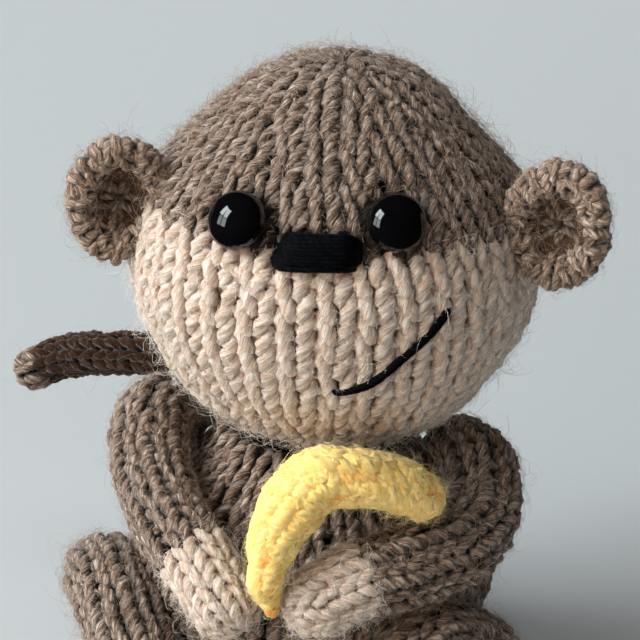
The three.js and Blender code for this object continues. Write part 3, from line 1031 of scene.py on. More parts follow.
class StrandMesh:
    """Turns strands into one mesh of twisted tubes, with a map along the yarn."""

    MAP_GAP: ClassVar[float] = 7.3
    BANDS: ClassVar[int] = 24

    def __init__(self, name: str, per_ply: int, groove: float) -> None:
        """Draws the strand's section, which stays out of the view.

        Args:
            name: The section's name.
            per_ply: Corners for each ply.
            groove: Depth of the grooves, as a share of the radius.
        """
        self.corners = Strand.PLIES * per_ply
        curve = bpy.data.curves.new(name, "CURVE")
        curve.dimensions = "2D"
        spline = curve.splines.new("POLY")
        spline.points.add(self.corners - 1)
        for k in range(self.corners):
            angle = math.tau * k / self.corners
            radius = MM * (1 - groove * (0.5 + 0.5 * math.cos(Strand.PLIES * angle)))
            spline.points[k].co = (radius * math.cos(angle), radius * math.sin(angle), 0, 1)
        spline.use_cyclic_u = True
        self.section = show(bpy.data.objects.new(name, curve))
        self.section.hide_render = True
        self.section.hide_viewport = True

    def build(self, name: str, strands: list[Strand]) -> Mesh:
        """Builds the mesh.

        Args:
            name: The mesh's name.
            strands: What it is made of.

        Returns:
            The mesh, in metres.
        """
        curve = bpy.data.curves.new(name, "CURVE")
        curve.dimensions = "3D"
        curve.bevel_mode = "OBJECT"
        curve.bevel_object = self.section
        ordered = sorted(strands, key=lambda strand: not strand.closed)
        for strand in ordered:
            self._add_spline(curve, strand)
        holder = show(bpy.data.objects.new(name, curve))
        graph = bpy.context.evaluated_depsgraph_get()
        mesh = bpy.data.meshes.new_from_object(holder.evaluated_get(graph))
        bpy.data.objects.remove(holder)
        bpy.data.curves.remove(curve)
        self._lay_maps(mesh, ordered)
        self._lay_shade(mesh, ordered)
        work = bmesh.new()
        work.from_mesh(mesh)
        bpy.data.meshes.remove(mesh)
        bmesh.ops.remove_doubles(work, verts=work.verts, dist=1e-7)
        return finish_mesh(work, name)

    def _add_spline(self, curve: Curve, strand: Strand) -> None:
        """Adds one strand to the curve, with whole turns of its twist.

        Args:
            curve: The curve.
            strand: The strand.
        """
        spline = curve.splines.new("POLY")
        count = len(strand.points)
        spline.points.add(count - 1)
        rows = np.concatenate([strand.points * MM, np.ones((count, 1))], axis=1)
        spline.points.foreach_set("co", rows.ravel().astype(np.float32))
        spline.points.foreach_set("radius", strand.radii.astype(np.float32))
        length = strand.length()
        turns = round(length * strand.twist / math.tau * strand.PLIES) / strand.PLIES
        tilt = math.tau * turns * distances(strand.points) / length
        spline.points.foreach_set("tilt", tilt.astype(np.float32))
        spline.use_cyclic_u = strand.closed
        spline.use_smooth = True

    def _lay_shade(self, mesh: Mesh, strands: list[Strand]) -> None:
        """Writes the painted shade of each part of a strand, from 0 in the gaps to 1 on the crests, with
        its sides painted darker than its top.

        Args:
            mesh: The mesh, with a ring of corners for each point.
            strands: Its strands in order.
        """
        layer = mesh.attributes.new("Shade", "FLOAT", "POINT")
        values = np.ones(len(mesh.vertices), dtype=np.float32)
        places = np.empty(3 * len(mesh.vertices), dtype=np.float32)
        mesh.vertices.foreach_get("co", places)
        rings = places.reshape(-1, self.corners, 3)
        levels = values.reshape(-1, self.corners)
        first = 0
        for strand in strands:
            last = first + len(strand.points)
            if strand.shade is not None:
                away = rings[first:last] / MM - strand.points[:, None]
                rise = (away * strand.outward[:, None]).sum(axis=2) / strand.radii[:, None]
                # Painted shade: the less a corner faces out of the form, the darker it is painted.
                side = np.clip(0.1 + rise, 0, 1)
                levels[first:last] = strand.shade[:, None] * side
            first = last
        layer.data.foreach_set("value", values)

    def _lay_maps(self, mesh: Mesh, strands: list[Strand]) -> None:
        """Writes the yarn's map in millimetres, and one for baking with a band for each strand.

        Args:
            mesh: The mesh, with four loops for each face.
            strands: Its strands in order.
        """
        source = mesh.uv_layers[0]
        flat = np.empty(len(mesh.loops) * 2, dtype=np.float32)
        source.data.foreach_get("uv", flat)
        flat = flat.reshape(-1, 2)
        source.name = "Yarn"
        yarn = flat.copy()
        bake = flat.copy()
        columns = max(1, round(math.sqrt(len(strands) / self.BANDS)))
        rows = math.ceil(len(strands) / columns)
        start, offset = 0, 0.0
        for index, strand in enumerate(strands):
            count = len(strand.points) - (0 if strand.closed else 1)
            end = start + count * self.corners * 4
            part = flat[start:end]
            length = strand.length()
            yarn[start:end, 0] = part[:, 0] * length + offset
            offset += length + self.MAP_GAP
            column, row = index % columns, index // columns
            bake[start:end, 0] = (column + 0.01 + 0.98 * part[:, 0]) / columns
            bake[start:end, 1] = BAKED_STRANDS * (row + 0.04 + 0.92 * part[:, 1]) / rows
            start = end
        source.data.foreach_set("uv", yarn.ravel())
        baked = mesh.uv_layers.new(name="OFBake")
        baked.data.foreach_set("uv", bake.ravel())


def lay_plain_maps(work: BMesh) -> None:
    """Gives a grid the same maps as the strands, from its flat shape.

    Args:
        work: The grid, still flat, from -0.5 to 0.5.
    """
    yarn = work.loops.layers.uv.new("Yarn")
    bake = work.loops.layers.uv.new("OFBake")
    shade = work.verts.layers.float.new("Shade")
    for vert in work.verts:
        vert[shade] = 1.0
    for face in work.faces:
        for loop in face.loops:
            x, y = loop.vert.co.x + 0.5, loop.vert.co.y + 0.5
            loop[yarn].uv = (40 * x, y)
            loop[bake].uv = (0.005 + 0.99 * x, BAKED_STRANDS + 0.002 + 0.055 * y)


@dataclass
class Knitter:
    """Knits rows of stitches over a form."""

    stitch: Stitch
    rounds: tuple[int, ...] = (FULL_ROUND, 24, 18, 12, 8, 6)
    keepers: tuple[Keeper, ...] = ()
    phase: float = 0.0
    shear: float = 0.0
    swirl: float = 0.0
    swirl_from: float = 0.0
    drift: float = 0.3
    walk: Walk = Walk.TO_END
    seed: int = 1
    TIGHTEST: ClassVar[float] = 0.74
    THINNEST: ClassVar[float] = 0.72
    SWAYS: ClassVar[Point] = (0.8, 0.6, 0.5)
    MARGIN: ClassVar[float] = 0.95
    SEED_STRIDE: ClassVar[int] = 1000

    def wales(self, girth: float) -> int:
        """How many stitches go round.

        Args:
            girth: The form's girth.

        Returns:
            The largest of the rounds that isn't too tight for it.
        """
        for count in self.rounds:
            if girth / count >= self.TIGHTEST * self.stitch.wale:
                return count
        return self.rounds[-1]

    def row(self, form: Form, along: float, index: int) -> Strand:
        """One closed row of stitches.

        Args:
            form: The form that it lies on.
            along: The row's distance from the form's first pole.
            index: The row's number, which seeds its unevenness.

        Returns:
            The strand.
        """
        stitch = self.stitch
        girth = form.girth(along)
        count = self.wales(girth)
        rng = np.random.default_rng(self.seed * self.SEED_STRIDE + index)
        turn = np.arange(count * stitch.steps) * (math.tau / stitch.steps)
        place = (turn + stitch.lean * np.sin(2 * turn)) / math.tau
        across, upward, lift, thick = (self._wander(rng, count, turn) for _ in range(4))
        lean = self.phase + self.shear * along + self.swirl * max(0.0, along - self.swirl_from) ** 2
        around = (place + 0.5 * across * stitch.uneven) / count + lean
        sway_round, sway_up, sway_off = self._sways(around, along)
        around = around + sway_round / max(girth, LEAST_GIRTH)
        up = stitch.reach * np.cos(turn) * self.walk.value + sway_up
        at = along + up + upward * stitch.uneven
        height = -stitch.depth * np.cos(2 * turn) - stitch.shingle * np.cos(turn)
        height = height - stitch.favour * np.sin(turn) + 0.8 * lift * stitch.uneven + sway_off
        points = form.place(around, at, height - stitch.sink)
        outward = form.place(around, at, height - stitch.sink + 0.5) - points
        outward = outward / np.maximum(np.linalg.norm(outward, axis=1), TINY)[:, None]
        narrow = min(1.0, max(self.THINNEST, girth / count / stitch.wale))
        radii = stitch.strand * narrow * (1 - stitch.swell * np.cos(2 * turn) - 0.02 * np.sin(turn))
        radii = radii * (1 + 0.06 * thick)
        for keeper in self.keepers:
            points = keeper.clear(points, stitch.strand * narrow * self.MARGIN)
        # Painted light: a stitch is painted lit high on its loops and in shade low in the gaps, and the
        # keepers paint shadow near them.
        painted_light = (height + stitch.depth + stitch.shingle) / (2 * stitch.depth + 2 * stitch.shingle)
        painted_light = np.clip(0.35 + 0.9 * painted_light, 0, 1)
        for keeper in self.keepers:
            painted_light = painted_light * keeper.light(points)
        return Strand(points, radii, True, stitch.twist, painted_light, outward)

    def _sways(self, around: np.ndarray, along: float) -> list[np.ndarray]:
        """How a row sways, as a slow and a quick wave.

        Args:
            around: Turns round the form.
            along: The row's distance from the form's first pole.

        Returns:
            The sway round, along and off the form.
        """
        sways = []
        for axis, share in enumerate(self.SWAYS):
            slow = np.sin(math.tau * (3 * around + axis / 3) + along * (0.21 + 0.08 * axis))
            quick = np.cos(math.tau * 7 * around - along * (0.33 + 0.1 * axis))
            sways.append(share * (self.drift * (0.6 * slow + 0.4 * quick)))
        return sways

    @staticmethod
    def _wander(rng: np.random.Generator, count: int, turn: np.ndarray) -> np.ndarray:
        """A smooth random value along a row.

        Args:
            rng: Where two values a stitch are drawn.
            count: How many stitches it has.
            turn: Places along the row, with a full turn to a stitch.

        Returns:
            One value for each place.
        """
        values = rng.normal(size=2 * count)
        return np.interp(turn / math.pi, np.arange(2 * count + 1), np.append(values, values[0]))

    def rows(self, form: Form, start: float, end: float, pitch: float | None = None) -> list[Strand]:
        """The rows between two distances along a form.

        Args:
            form: The form.
            start: Where the first row's lower edge lies.
            end: Where the last row's upper edge lies.
            pitch: The distance from row to row, if it isn't the stitch's own.

        Returns:
            The strands.
        """
        pitch = pitch or self.stitch.row
        count = max(1, round((end - start) / pitch))
        step = (end - start) / count
        return [self.row(form, start + (k + 0.5) * step, k + int(start * 10)) for k in range(count)]


@dataclass(frozen=True)
class Skin:
    """A closed skin over part of a form."""

    form: Form
    start: float
    end: float
    off: float
    keepers: tuple[Keeper, ...] = ()
    lumps: float = 0.0
    COLUMNS: ClassVar[int] = 48
    ROW: ClassVar[float] = 1.4

    def build(self, name: str) -> Mesh:
        """Builds the mesh.

        Args:
            name: The mesh's name.

        Returns:
            The mesh, in metres.
        """
        work = bmesh.new()
        rows = max(6, int((self.end - self.start) / self.ROW))
        bmesh.ops.create_grid(work, x_segments=self.COLUMNS, y_segments=rows, size=0.5)
        lay_plain_maps(work)
        verts = list(work.verts)
        flat = np.array([vert.co[:] for vert in verts])
        around = flat[:, 0] + 0.5
        along = self.start + (self.end - self.start) * (flat[:, 1] + 0.5)
        swell = np.sin(around * math.tau * 7 + along * 0.9) * np.cos(around * math.tau * 4 - along * 1.3)
        points = self.form.place(around, along, self.off - self.lumps * (0.5 + 0.5 * swell))
        for keeper in self.keepers:
            points = keeper.clear(points, 0.5 - self.off)
        for vert, point in zip(verts, points):
            vert.co = Vector(point * MM)
        bmesh.ops.remove_doubles(work, verts=work.verts, dist=2e-5)
        rims = [edge for edge in work.edges if edge.is_boundary]
        if rims:
            bmesh.ops.holes_fill(work, edges=rims, sides=0)
        return finish_mesh(work, name)


class Workshop:
    """Makes, joins, dresses and reports the pieces."""

    def __init__(self) -> None:
        """Starts with the finishes and the strand sections."""
        self.finishes = Finishes()
        self.yarn = StrandMesh("yarn_section", 3, 0.06)
        self.hair = StrandMesh("hair_section", 1, 0.0)
        self.made: list[Object] = []

    def put(
        self,
        name: str,
        meshes: list[tuple[Mesh, Material]],
        body: str,
        stands_for: tuple[str, ...] = (),
    ) -> None:
        """Joins meshes into one piece and gives it its place in the frame.

        Args:
            name: The piece's name.
            meshes: Each mesh with its material.
            body: The body that it rides on.
            stands_for: The CAD nodes that it replaces.
        """
        mesh = bpy.data.meshes.new(name)
        work = bmesh.new()
        for index, (part, material) in enumerate(meshes):
            mesh.materials.append(material)
            first = len(work.faces)
            work.from_mesh(part)
            work.faces.ensure_lookup_table()
            for face in work.faces[first:]:
                face.material_index = index
            bpy.data.meshes.remove(part)
        work.to_mesh(mesh)
        work.free()
        piece = show(bpy.data.objects.new(name, mesh))
        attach(piece, body)
        if stands_for:
            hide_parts(*stands_for)
        self.made.append(piece)
        triangles = sum(len(polygon.vertices) - 2 for polygon in mesh.polygons)
        LOG.info("%s rides on %s: %d triangles", name, body, triangles)

    def knit(
        self, name: str, body: str, wool: Wool, rows: list[Strand], skin: Skin, node: str
    ) -> None:
        """Makes a stuffed cover: its rows of stitches over the shade behind them.

        Args:
            name: The piece's name.
            body: The body that it rides on.
            wool: Its yarn.
            rows: Its strands.
            skin: The dark skin of painted shade that shows between them.
            node: The CAD node that it replaces.
        """
        parts = [(self.yarn.build("rows", rows), wool.yarn), (skin.build("shade"), wool.shade)]
        self.put(name, parts, body, (node,))

    def stuff(self, name: str, body: str, skin: Skin, node: str) -> None:
        """Makes a stuffing.

        Args:
            name: The piece's name.
            body: The body that it rides on.
            skin: Its surface.
            node: The CAD node that it replaces.
        """
        parts = [(skin.build("stuffing"), self.finishes.fibre_fill)]
        self.put(name, parts, body, (node,))

    def fluff(self, name: str, body: str, wool: Wool, hairs: list[Strand]) -> None:
        """Makes the loose fibres over a cover.

        Args:
            name: The piece's name.
            body: The body that they ride on.
            wool: The yarn that they come from.
            hairs: Their strands.
        """
        self.put(name, [(self.hair.build("hairs", hairs), wool.fuzz)], body)

    def clean_up(self) -> None:
        """Takes the strand sections out of the scene."""
        for maker in (self.yarn, self.hair):
            bpy.data.objects.remove(maker.section)


@dataclass
class Fuzz:
    """The loose fibres that stand off knitted yarn."""

    count: int
    longest: float = 3.6
    shortest: float = 0.6
    keepers: tuple[Keeper, ...] = ()
    bare: tuple[tuple[np.ndarray, float], ...] = ()
    seed: int = 7
    TAPER: ClassVar[tuple[float, ...]] = (0.7, 1.1, 0.9, 0.15)
    THICKNESS: ClassVar[float] = 0.014
    ROOT: ClassVar[float] = -0.05
    CURL: ClassVar[float] = 1.2
    SLICES: ClassVar[int] = 40

    def hairs(self, form: Form, start: float, end: float) -> list[Strand]:
        """Loose fibres over part of a form, more where it is thick.

        Args:
            form: The form.
            start: Where they start along it.
            end: Where they end.

        Returns:
            The strands.
        """
        rng = np.random.default_rng(self.seed)
        steps = len(self.TAPER)
        girths = np.array([form.girth(a) for a in np.linspace(start, end, self.SLICES)])
        picks = rng.choice(self.SLICES, size=self.count, p=girths / girths.sum())
        along = start + (end - start) * (picks + rng.random(self.count)) / self.SLICES
        around = rng.random(self.count)
        long = self.shortest + (self.longest - self.shortest) * rng.random(self.count) ** 4.5
        spots = np.linspace(0, 1, steps)
        angle = rng.uniform(0, math.tau, self.count)[:, None]
        angle = angle + rng.normal(size=(self.count, 1)) * self.CURL * spots
        rise = np.abs(rng.normal(size=(self.count, 1))) * 0.45 + 0.1
        arch = np.sin(spots * math.pi * rng.uniform(0.4, 0.95, (self.count, 1)))
        step = long[:, None] / (steps - 1)
        across = np.cumsum(np.cos(angle), axis=1) * step
        upward = np.cumsum(np.sin(angle), axis=1) * step
        girth = np.maximum(girths[picks], LEAST_GIRTH)[:, None]
        height = self.ROOT + long[:, None] * rise * arch * 0.8
        points = form.place(
            (around[:, None] + across / girth).ravel(),
            np.clip(along[:, None] + upward, start, end).ravel(),
            height.ravel(),
        )
        for keeper in self.keepers:
            points = keeper.clear(points, 0.1)
        points = points.reshape(self.count, steps, 3)
        thick = self.THICKNESS * rng.uniform(0.6, 1.3, self.count)
        kept = np.ones(self.count, dtype=bool)
        for centre, radius in self.bare:
            kept &= np.linalg.norm(points - centre, axis=2).min(axis=1) > radius
        taper = np.array(self.TAPER)
        return [Strand(rows, taper * size, False, 0.0) for rows, size in zip(points[kept], thick[kept])]


def turned(degrees: float, axis: str = "Z") -> np.ndarray:
    """The matrix of a turn about an axis."""
    return np.array(Matrix.Rotation(math.radians(degrees), 3, axis))


HEAD_PLACE = Placement(turned(HEAD_TURN), HEAD_CENTRE)


def head_reach(angle: np.ndarray | float) -> np.ndarray | float:
    """The head's radius, which is drawn in round the crown and dropped at its top.

    Args:
        angle: Degrees from the top.

    Returns:
        The radius there.
    """
    drawn_in = CROWN_DRAW_IN * np.exp(-(((angle - CROWN_DRAW_IN_ANGLE) / CROWN_DRAW_IN_SPREAD) ** 2))
    top_drop = TOP_DROP * np.exp(-((angle / TOP_DROP_SPREAD) ** 2))
    return HEAD_RADIUS - drawn_in - top_drop


def head_outline() -> np.ndarray:
    """The head's outline from the chin's pole to the crown's.

    Returns:
        Rows of radius and height from the head's middle.
    """
    angle = np.linspace(180, 0, 361)
    reach = head_reach(angle)
    return np.stack([reach * np.sin(np.radians(angle)), reach * np.cos(np.radians(angle))], axis=1)


def body_outline() -> np.ndarray:
    """The body's outline from the middle of the seat to the neck.

    Returns:
        Rows of radius and height.
    """
    shares = np.array(
        [
            (0.44, 0), (0.6, 0.018), (0.79, 0.1), (0.9, 0.22), (0.965, 0.38), (1, 0.53),
            (0.955, 0.64), (0.84, 0.75), (0.69, 0.86), (0.57, 0.95), (0.49, 1.03), (0.4, 1.12),
        ]
    )
    stops = shares * np.array([BODY_RADIUS, BODY_HEIGHT])
    curve = smooth_outline(stops, 240)
    seat = np.stack([np.linspace(0, curve[0, 0], 40), np.zeros(40)], axis=1)
    return np.vstack([seat[:-1], curve])


def on_head(longitude: float, latitude: float, off: float) -> np.ndarray:
    """A point on the head in the row's frame.

    Args:
        longitude: Degrees from the face's middle to the toy's left.
        latitude: Degrees over the head's middle.
        off: Height over the surface.

    Returns:
        The point.
    """
    lon, lat = math.radians(longitude), math.radians(latitude)
    reach = head_reach(90 - latitude) + off
    flat = reach * math.cos(lat)
    return HEAD_PLACE.apply(np.array([flat * math.sin(lon), -flat * math.cos(lon), reach * math.sin(lat)]))


def off_head(longitude: float, latitude: float) -> np.ndarray:
    """The direction straight out of the head at a place.

    Args:
        longitude: Degrees from the face's middle to the toy's left.
        latitude: Degrees over the head's middle.

    Returns:
        A unit direction.
    """
    across = on_head(longitude + 1, latitude, 0) - on_head(longitude - 1, latitude, 0)
    upward = on_head(longitude, latitude + 1, 0) - on_head(longitude, latitude - 1, 0)
    out = np.cross(across, upward)
    return out / np.linalg.norm(out)


class Part(ABC):
    """A sub-assembly of the toy."""

    @abstractmethod
    def build(self, shop: Workshop) -> None:
        """Makes the part's pieces.

        Args:
            shop: Where the pieces are put.
        """


@dataclass
class Head(Part):
    """The knitted ball with its change from cream to brown, and its stuffing."""

    eyes: tuple[Eye, ...]
    stitch: Stitch = Stitch()
    colour_change: float = 16.0
    front_wale: float = 7.5
    shear: float = -0.00035
    fill: float = 0.95
    NOSE_LATITUDE: ClassVar[float] = 17.2

    def change(self, form: TurnedForm) -> float:
        """Where the colour changes.

        Args:
            form: The head's form.

        Returns:
            The distance along it.
        """
        height = HEAD_RADIUS * math.sin(math.radians(self.colour_change))
        return float(np.interp(height, form.outline[:, 1], form.reach))

    def dimples(self) -> tuple[Dimple, ...]:
        """The hollows under the eyes and the nose, with painted shadow on the yarn round them."""
        hollows = [Dimple(eye.seat(), eye.seat(), eye.out(), 3.05, 0.9) for eye in self.eyes]
        start, end = (on_head(longitude, self.NOSE_LATITUDE, 0) for longitude in (-7.2, 8.4))
        return (*hollows, Dimple(start, end, off_head(0.6, self.NOSE_LATITUDE), 1.9, 0.55))

    def bare(self) -> tuple[tuple[np.ndarray, float], ...]:
        """The balls that no fibre reaches, over the nose and the eyes."""
        nose = [(on_head(longitude, 16.9, 0.5), 2.3) for longitude in (-7.5, -3.5, 0.6, 4.7, 8.7)]
        return (*nose, *((eye.seat(1.0), 3.7) for eye in self.eyes))

    def build(self, shop: Workshop) -> None:
        """Makes the face, the crown, the stuffing and the fuzz."""
        form = TurnedForm(head_outline(), HEAD_PLACE)
        change = self.change(form)
        middle = 0.45 * form.length
        knitter = Knitter(
            self.stitch,
            phase=self.front_wale / 360 - self.shear * middle,
            shear=self.shear,
            swirl=-4e-5,
            swirl_from=middle + 3,
            keepers=self.dimples(),
            seed=3,
        )
        full = replace(knitter, stitch=replace(self.stitch, strand=0.95))
        face = full.rows(form, 4.0, change)
        crown = knitter.rows(form, change, form.length - 1.5, pitch=2.15)
        wools = shop.finishes
        skin = Skin(form, 0.5, change, SHADE_OFF)
        shop.knit("head_face_knit", "head", wools.cream, face, skin, "head_face")
        skin = Skin(form, change, form.length - 0.3, SHADE_OFF)
        shop.knit("head_crown_knit", "head", wools.brown, crown, skin, "head_crown")
        skin = Skin(form, 0.5, form.length - 0.5, STUFFING_OFF, lumps=0.8)
        shop.stuff("head_fill", "head", skin, "head_stuffing")
        pale = Fuzz(10500, bare=self.bare(), seed=11).hairs(form, 8, change + 1)
        shop.fluff("head_fuzz_pale", "head", wools.cream, pale)
        brown = Fuzz(8500, bare=self.bare(), seed=12).hairs(form, change - 1, form.length - 1)
        shop.fluff("head_fuzz_brown", "head", wools.brown, brown)


@dataclass
class Ear(Part):
    """A small cupped oval of knitting, sewn to the side of the head."""

    side: Side
    x: float
    up: float
    turn: float
    half_width: float = 6.1
    half_height: float = 7.5
    depth: float = 6.4
    wall: float = 3.5
    padding: float = 4.7
    back_offset: float = 8.2

    def form(self) -> TurnedForm:
        """The ear's smooth form."""
        rim_top = 0.43 * self.depth
        back = rim_top - self.depth
        floor = back + self.padding
        rim = self.half_width - self.wall
        width = self.half_width
        stops = np.array(
            [
                (0, back), (0.55 * width, 0.86 * back), (0.9 * width, 0.36 * back),
                (width, 0.3 * rim_top), (0.95 * width, 0.75 * rim_top),
                (width - 0.5 * self.wall, rim_top), (rim + 0.12 * self.wall, 0.75 * rim_top),
                (0.9 * rim, 0.2 * rim_top), (0.5 * rim, 0.8 * floor), (0, floor),
            ]
        )
        outline = smooth_outline(stops, 200)
        outline[:, 0] = np.maximum(outline[:, 0], 0)
        stretch = np.diag([1.0, 1.0, self.half_height / self.half_width])
        matrix = HEAD_PLACE.matrix @ turned(self.turn) @ stretch @ turned(90, "X")
        origin = HEAD_PLACE.apply(np.array([self.x, -self.back_offset, self.up]))
        return TurnedForm(outline, Placement(matrix, origin))

    def build(self, shop: Workshop) -> None:
        """Makes the ear."""
        form = self.form()
        stitch = Stitch().scaled(0.66, strand=0.7, uneven=0.24)
        pole = np.full(2, form.length)
        middle, above = form.place(np.zeros(2), pole, np.array([0.0, 1.0]))
        out = (above - middle) / np.linalg.norm(above - middle)
        # The hollow of the cup is drawn in a little and its yarn is painted darker, as painted shade.
        hollow = Dimple(middle, middle, out, 2.6, 0.2, 0.45)
        seed = int(self.side.sign)
        knitter = Knitter(stitch, rounds=(17, 13, 10, 8, 6, 5), keepers=(hollow,), seed=21 + seed)
        rows = knitter.rows(form, 1.2, form.length - 0.6)
        skin = Skin(form, 0.2, form.length - 0.1, -1.0)
        node = f"ear_{self.side.value}"
        shop.knit(f"{node}_knit", "head", shop.finishes.ear, rows, skin, node)
        hairs = Fuzz(1300, longest=3.0, seed=31 + seed).hairs(form, 2, form.length - 2)
        shop.fluff(f"{node}_fuzz", "head", shop.finishes.ear, hairs)


@dataclass
class Eye(Part):
    """A polished dome on its ribbed shank."""

    side: Side
    longitude: float
    latitude: float
    radius: float = 3.32
    height: float = 2.95
    shank: float = 0.85
    ribs: int = 3

    def out(self) -> np.ndarray:
        """The direction that the eye looks in."""
        return off_head(self.longitude, self.latitude)

    def seat(self, lift: float = 0.0) -> np.ndarray:
        """The eye's place, over the head's surface by the lift."""
        return on_head(self.longitude, self.latitude, lift)

    def profile(self) -> list[tuple[float, float]]:
        """The shank, the flange and the dome.

        Returns:
            Pairs of radius and height.
        """
        line = [(0.0, -5.0), (0.55, -5.0)]
        for k in range(self.ribs):
            height = -4.4 + 1.1 * k
            line += [(self.shank, height), (1.0, height + 0.35), (self.shank, height + 0.5)]
        brow = 0.15
        line += [(self.shank, -0.35), (2.8, -0.35), (3.22, -0.12), (self.radius, brow)]
        for k in range(1, 15):
            angle = math.pi / 2 * k / 14
            line.append((self.radius * math.cos(angle), brow + (self.height - brow) * math.sin(angle)))
        return line

    def build(self, shop: Workshop) -> None:
        """Makes the dome and its shank."""
        work = spun(self.profile(), 48, 1e-4)
        turn = Vector((0, 0, 1)).rotation_difference(Vector(self.out())).to_matrix().to_4x4()
        place = Matrix.Scale(MM, 4) @ Matrix.Translation(self.seat(0.2)) @ turn
        bmesh.ops.transform(work, matrix=place, verts=work.verts)
        node = f"eye_{self.side.value}"
        parts = [(finish_mesh(work, "eye"), shop.finishes.eye)]
        shop.put(f"{node}_dome", parts, "head", (node,))


@dataclass
class Nose(Part):
    """A bar of satin stitches, laid side by side in two layers."""

    longitude: float = 1.1
    latitude: float = 17.1
    width: float = 9.4
    height: float = 4.1
    threads: int = 10
    thickness: float = 0.35
    tilt: float = 0.1
    LAYERS: ClassVar[tuple[float, ...]] = (1.0, 0.94)
    SPOTS: ClassVar[int] = 25

    def build(self, shop: Workshop) -> None:
        """Makes the threads over their padding."""
        rng = np.random.default_rng(5)
        strands = [
            self._thread(rng, layer, (k + 0.5) / self.threads * 2 - 1)
            for layer in range(len(self.LAYERS))
            for k in range(self.threads)
        ]
        wool = shop.finishes.black
        parts = [(shop.yarn.build("nose_threads", strands), wool.yarn), (self._pad(), wool.shade)]
        shop.put("nose_satin", parts, "head", ("nose_stitches",))

    def _thread(self, rng: np.random.Generator, layer: int, share: float) -> Strand:
        """One thread of the bar.

        Args:
            rng: Where its unevenness is drawn.
            layer: 0 for the lower layer, 1 for the upper.
            share: Its place in the bar, from -1 at the bottom to 1 at the top.

        Returns:
            The strand.
        """
        reach = HEAD_RADIUS - 1.2
        half_lat = math.degrees(self.height / 2 / reach)
        half_lon = math.degrees(self.width / 2 / (reach * math.cos(math.radians(self.latitude))))
        swing = rng.normal() * 0.05
        left = float(np.interp(share, (-1, -0.6, 1), (0.96, 1.04, 0.82)))
        left += rng.uniform(-0.02, 0.02)
        right = float(np.interp(share, (-1, -0.75, 0.5, 1), (0.86, 0.98, 1.0, 0.78)))
        right += rng.uniform(-0.02, 0.02)
        points = []
        for spot in np.linspace(-1, 1, self.SPOTS):
            wide = (left if spot < 0 else right) * self.LAYERS[layer]
            latitude = self.latitude + half_lat * (0.92 * share + (swing + self.tilt) * spot)
            arch = 1 - abs(spot) ** 7
            off = -0.9 + 1.5 * arch + 0.3 * layer * arch - 0.3 * share**4 - 0.2 * spot**2
            points.append(on_head(self.longitude + half_lon * wide * spot, latitude, off))
        radii = np.full(self.SPOTS, self.thickness * (1 + 0.08 * rng.normal()))
        return Strand(np.array(points), radii, False, 1.4)

    def _pad(self) -> Mesh:
        """The flat pad under the threads."""
        pad = bmesh.new()
        pad.loops.layers.uv.new("Yarn")
        pad.loops.layers.uv.new("OFBake")
        pad.verts.layers.float.new("Shade")
        bmesh.ops.create_uvsphere(pad, u_segments=24, v_segments=12, radius=1.0)
        seat = Matrix.Translation(on_head(self.longitude, self.latitude, -0.5))
        turn = Vector(off_head(self.longitude, self.latitude)).to_track_quat("Z", "Y").to_matrix().to_4x4()
        size = Matrix.Diagonal((self.width * 0.42, self.height * 0.4, 0.95, 1))
        bmesh.ops.transform(pad, matrix=Matrix.Scale(MM, 4) @ seat @ turn @ size, verts=pad.verts)
        return finish_mesh(pad, "nose_pad")


@dataclass
class Mouth(Part):
    """One line of black yarn up the toy's left cheek."""

    route: tuple[tuple[float, float], ...] = (
        (6.7, -24.1), (17.6, -19.6), (25, -12.5), (32.8, -5.3), (38.9, 1.4),
    )
    radius: float = 0.52
    SPOTS: ClassVar[int] = 70

    def build(self, shop: Workshop) -> None:
        """Makes the twisted thread."""
        stops = np.array([(lon, lat, 0.0) for lon, lat in self.route])
        places = smooth_route(stops, np.linspace(0, 1, self.SPOTS))
        spots = np.arange(self.SPOTS)
        offs = 0.12 - 1.6 * np.exp(-np.minimum(spots, spots[::-1]) / 1.6)
        points = np.array([on_head(lon, lat, off) for (lon, lat, _), off in zip(places, offs)])
        taper = 0.6 + 0.4 * np.minimum(spots / 16, 1.0)
        strand = Strand(points, self.radius * taper, False, 2.2)
        wool = shop.finishes.black
        parts = [(shop.yarn.build("mouth", [strand]), wool.yarn)]
        shop.put("mouth_yarn", parts, "head", ("mouth_thread",))


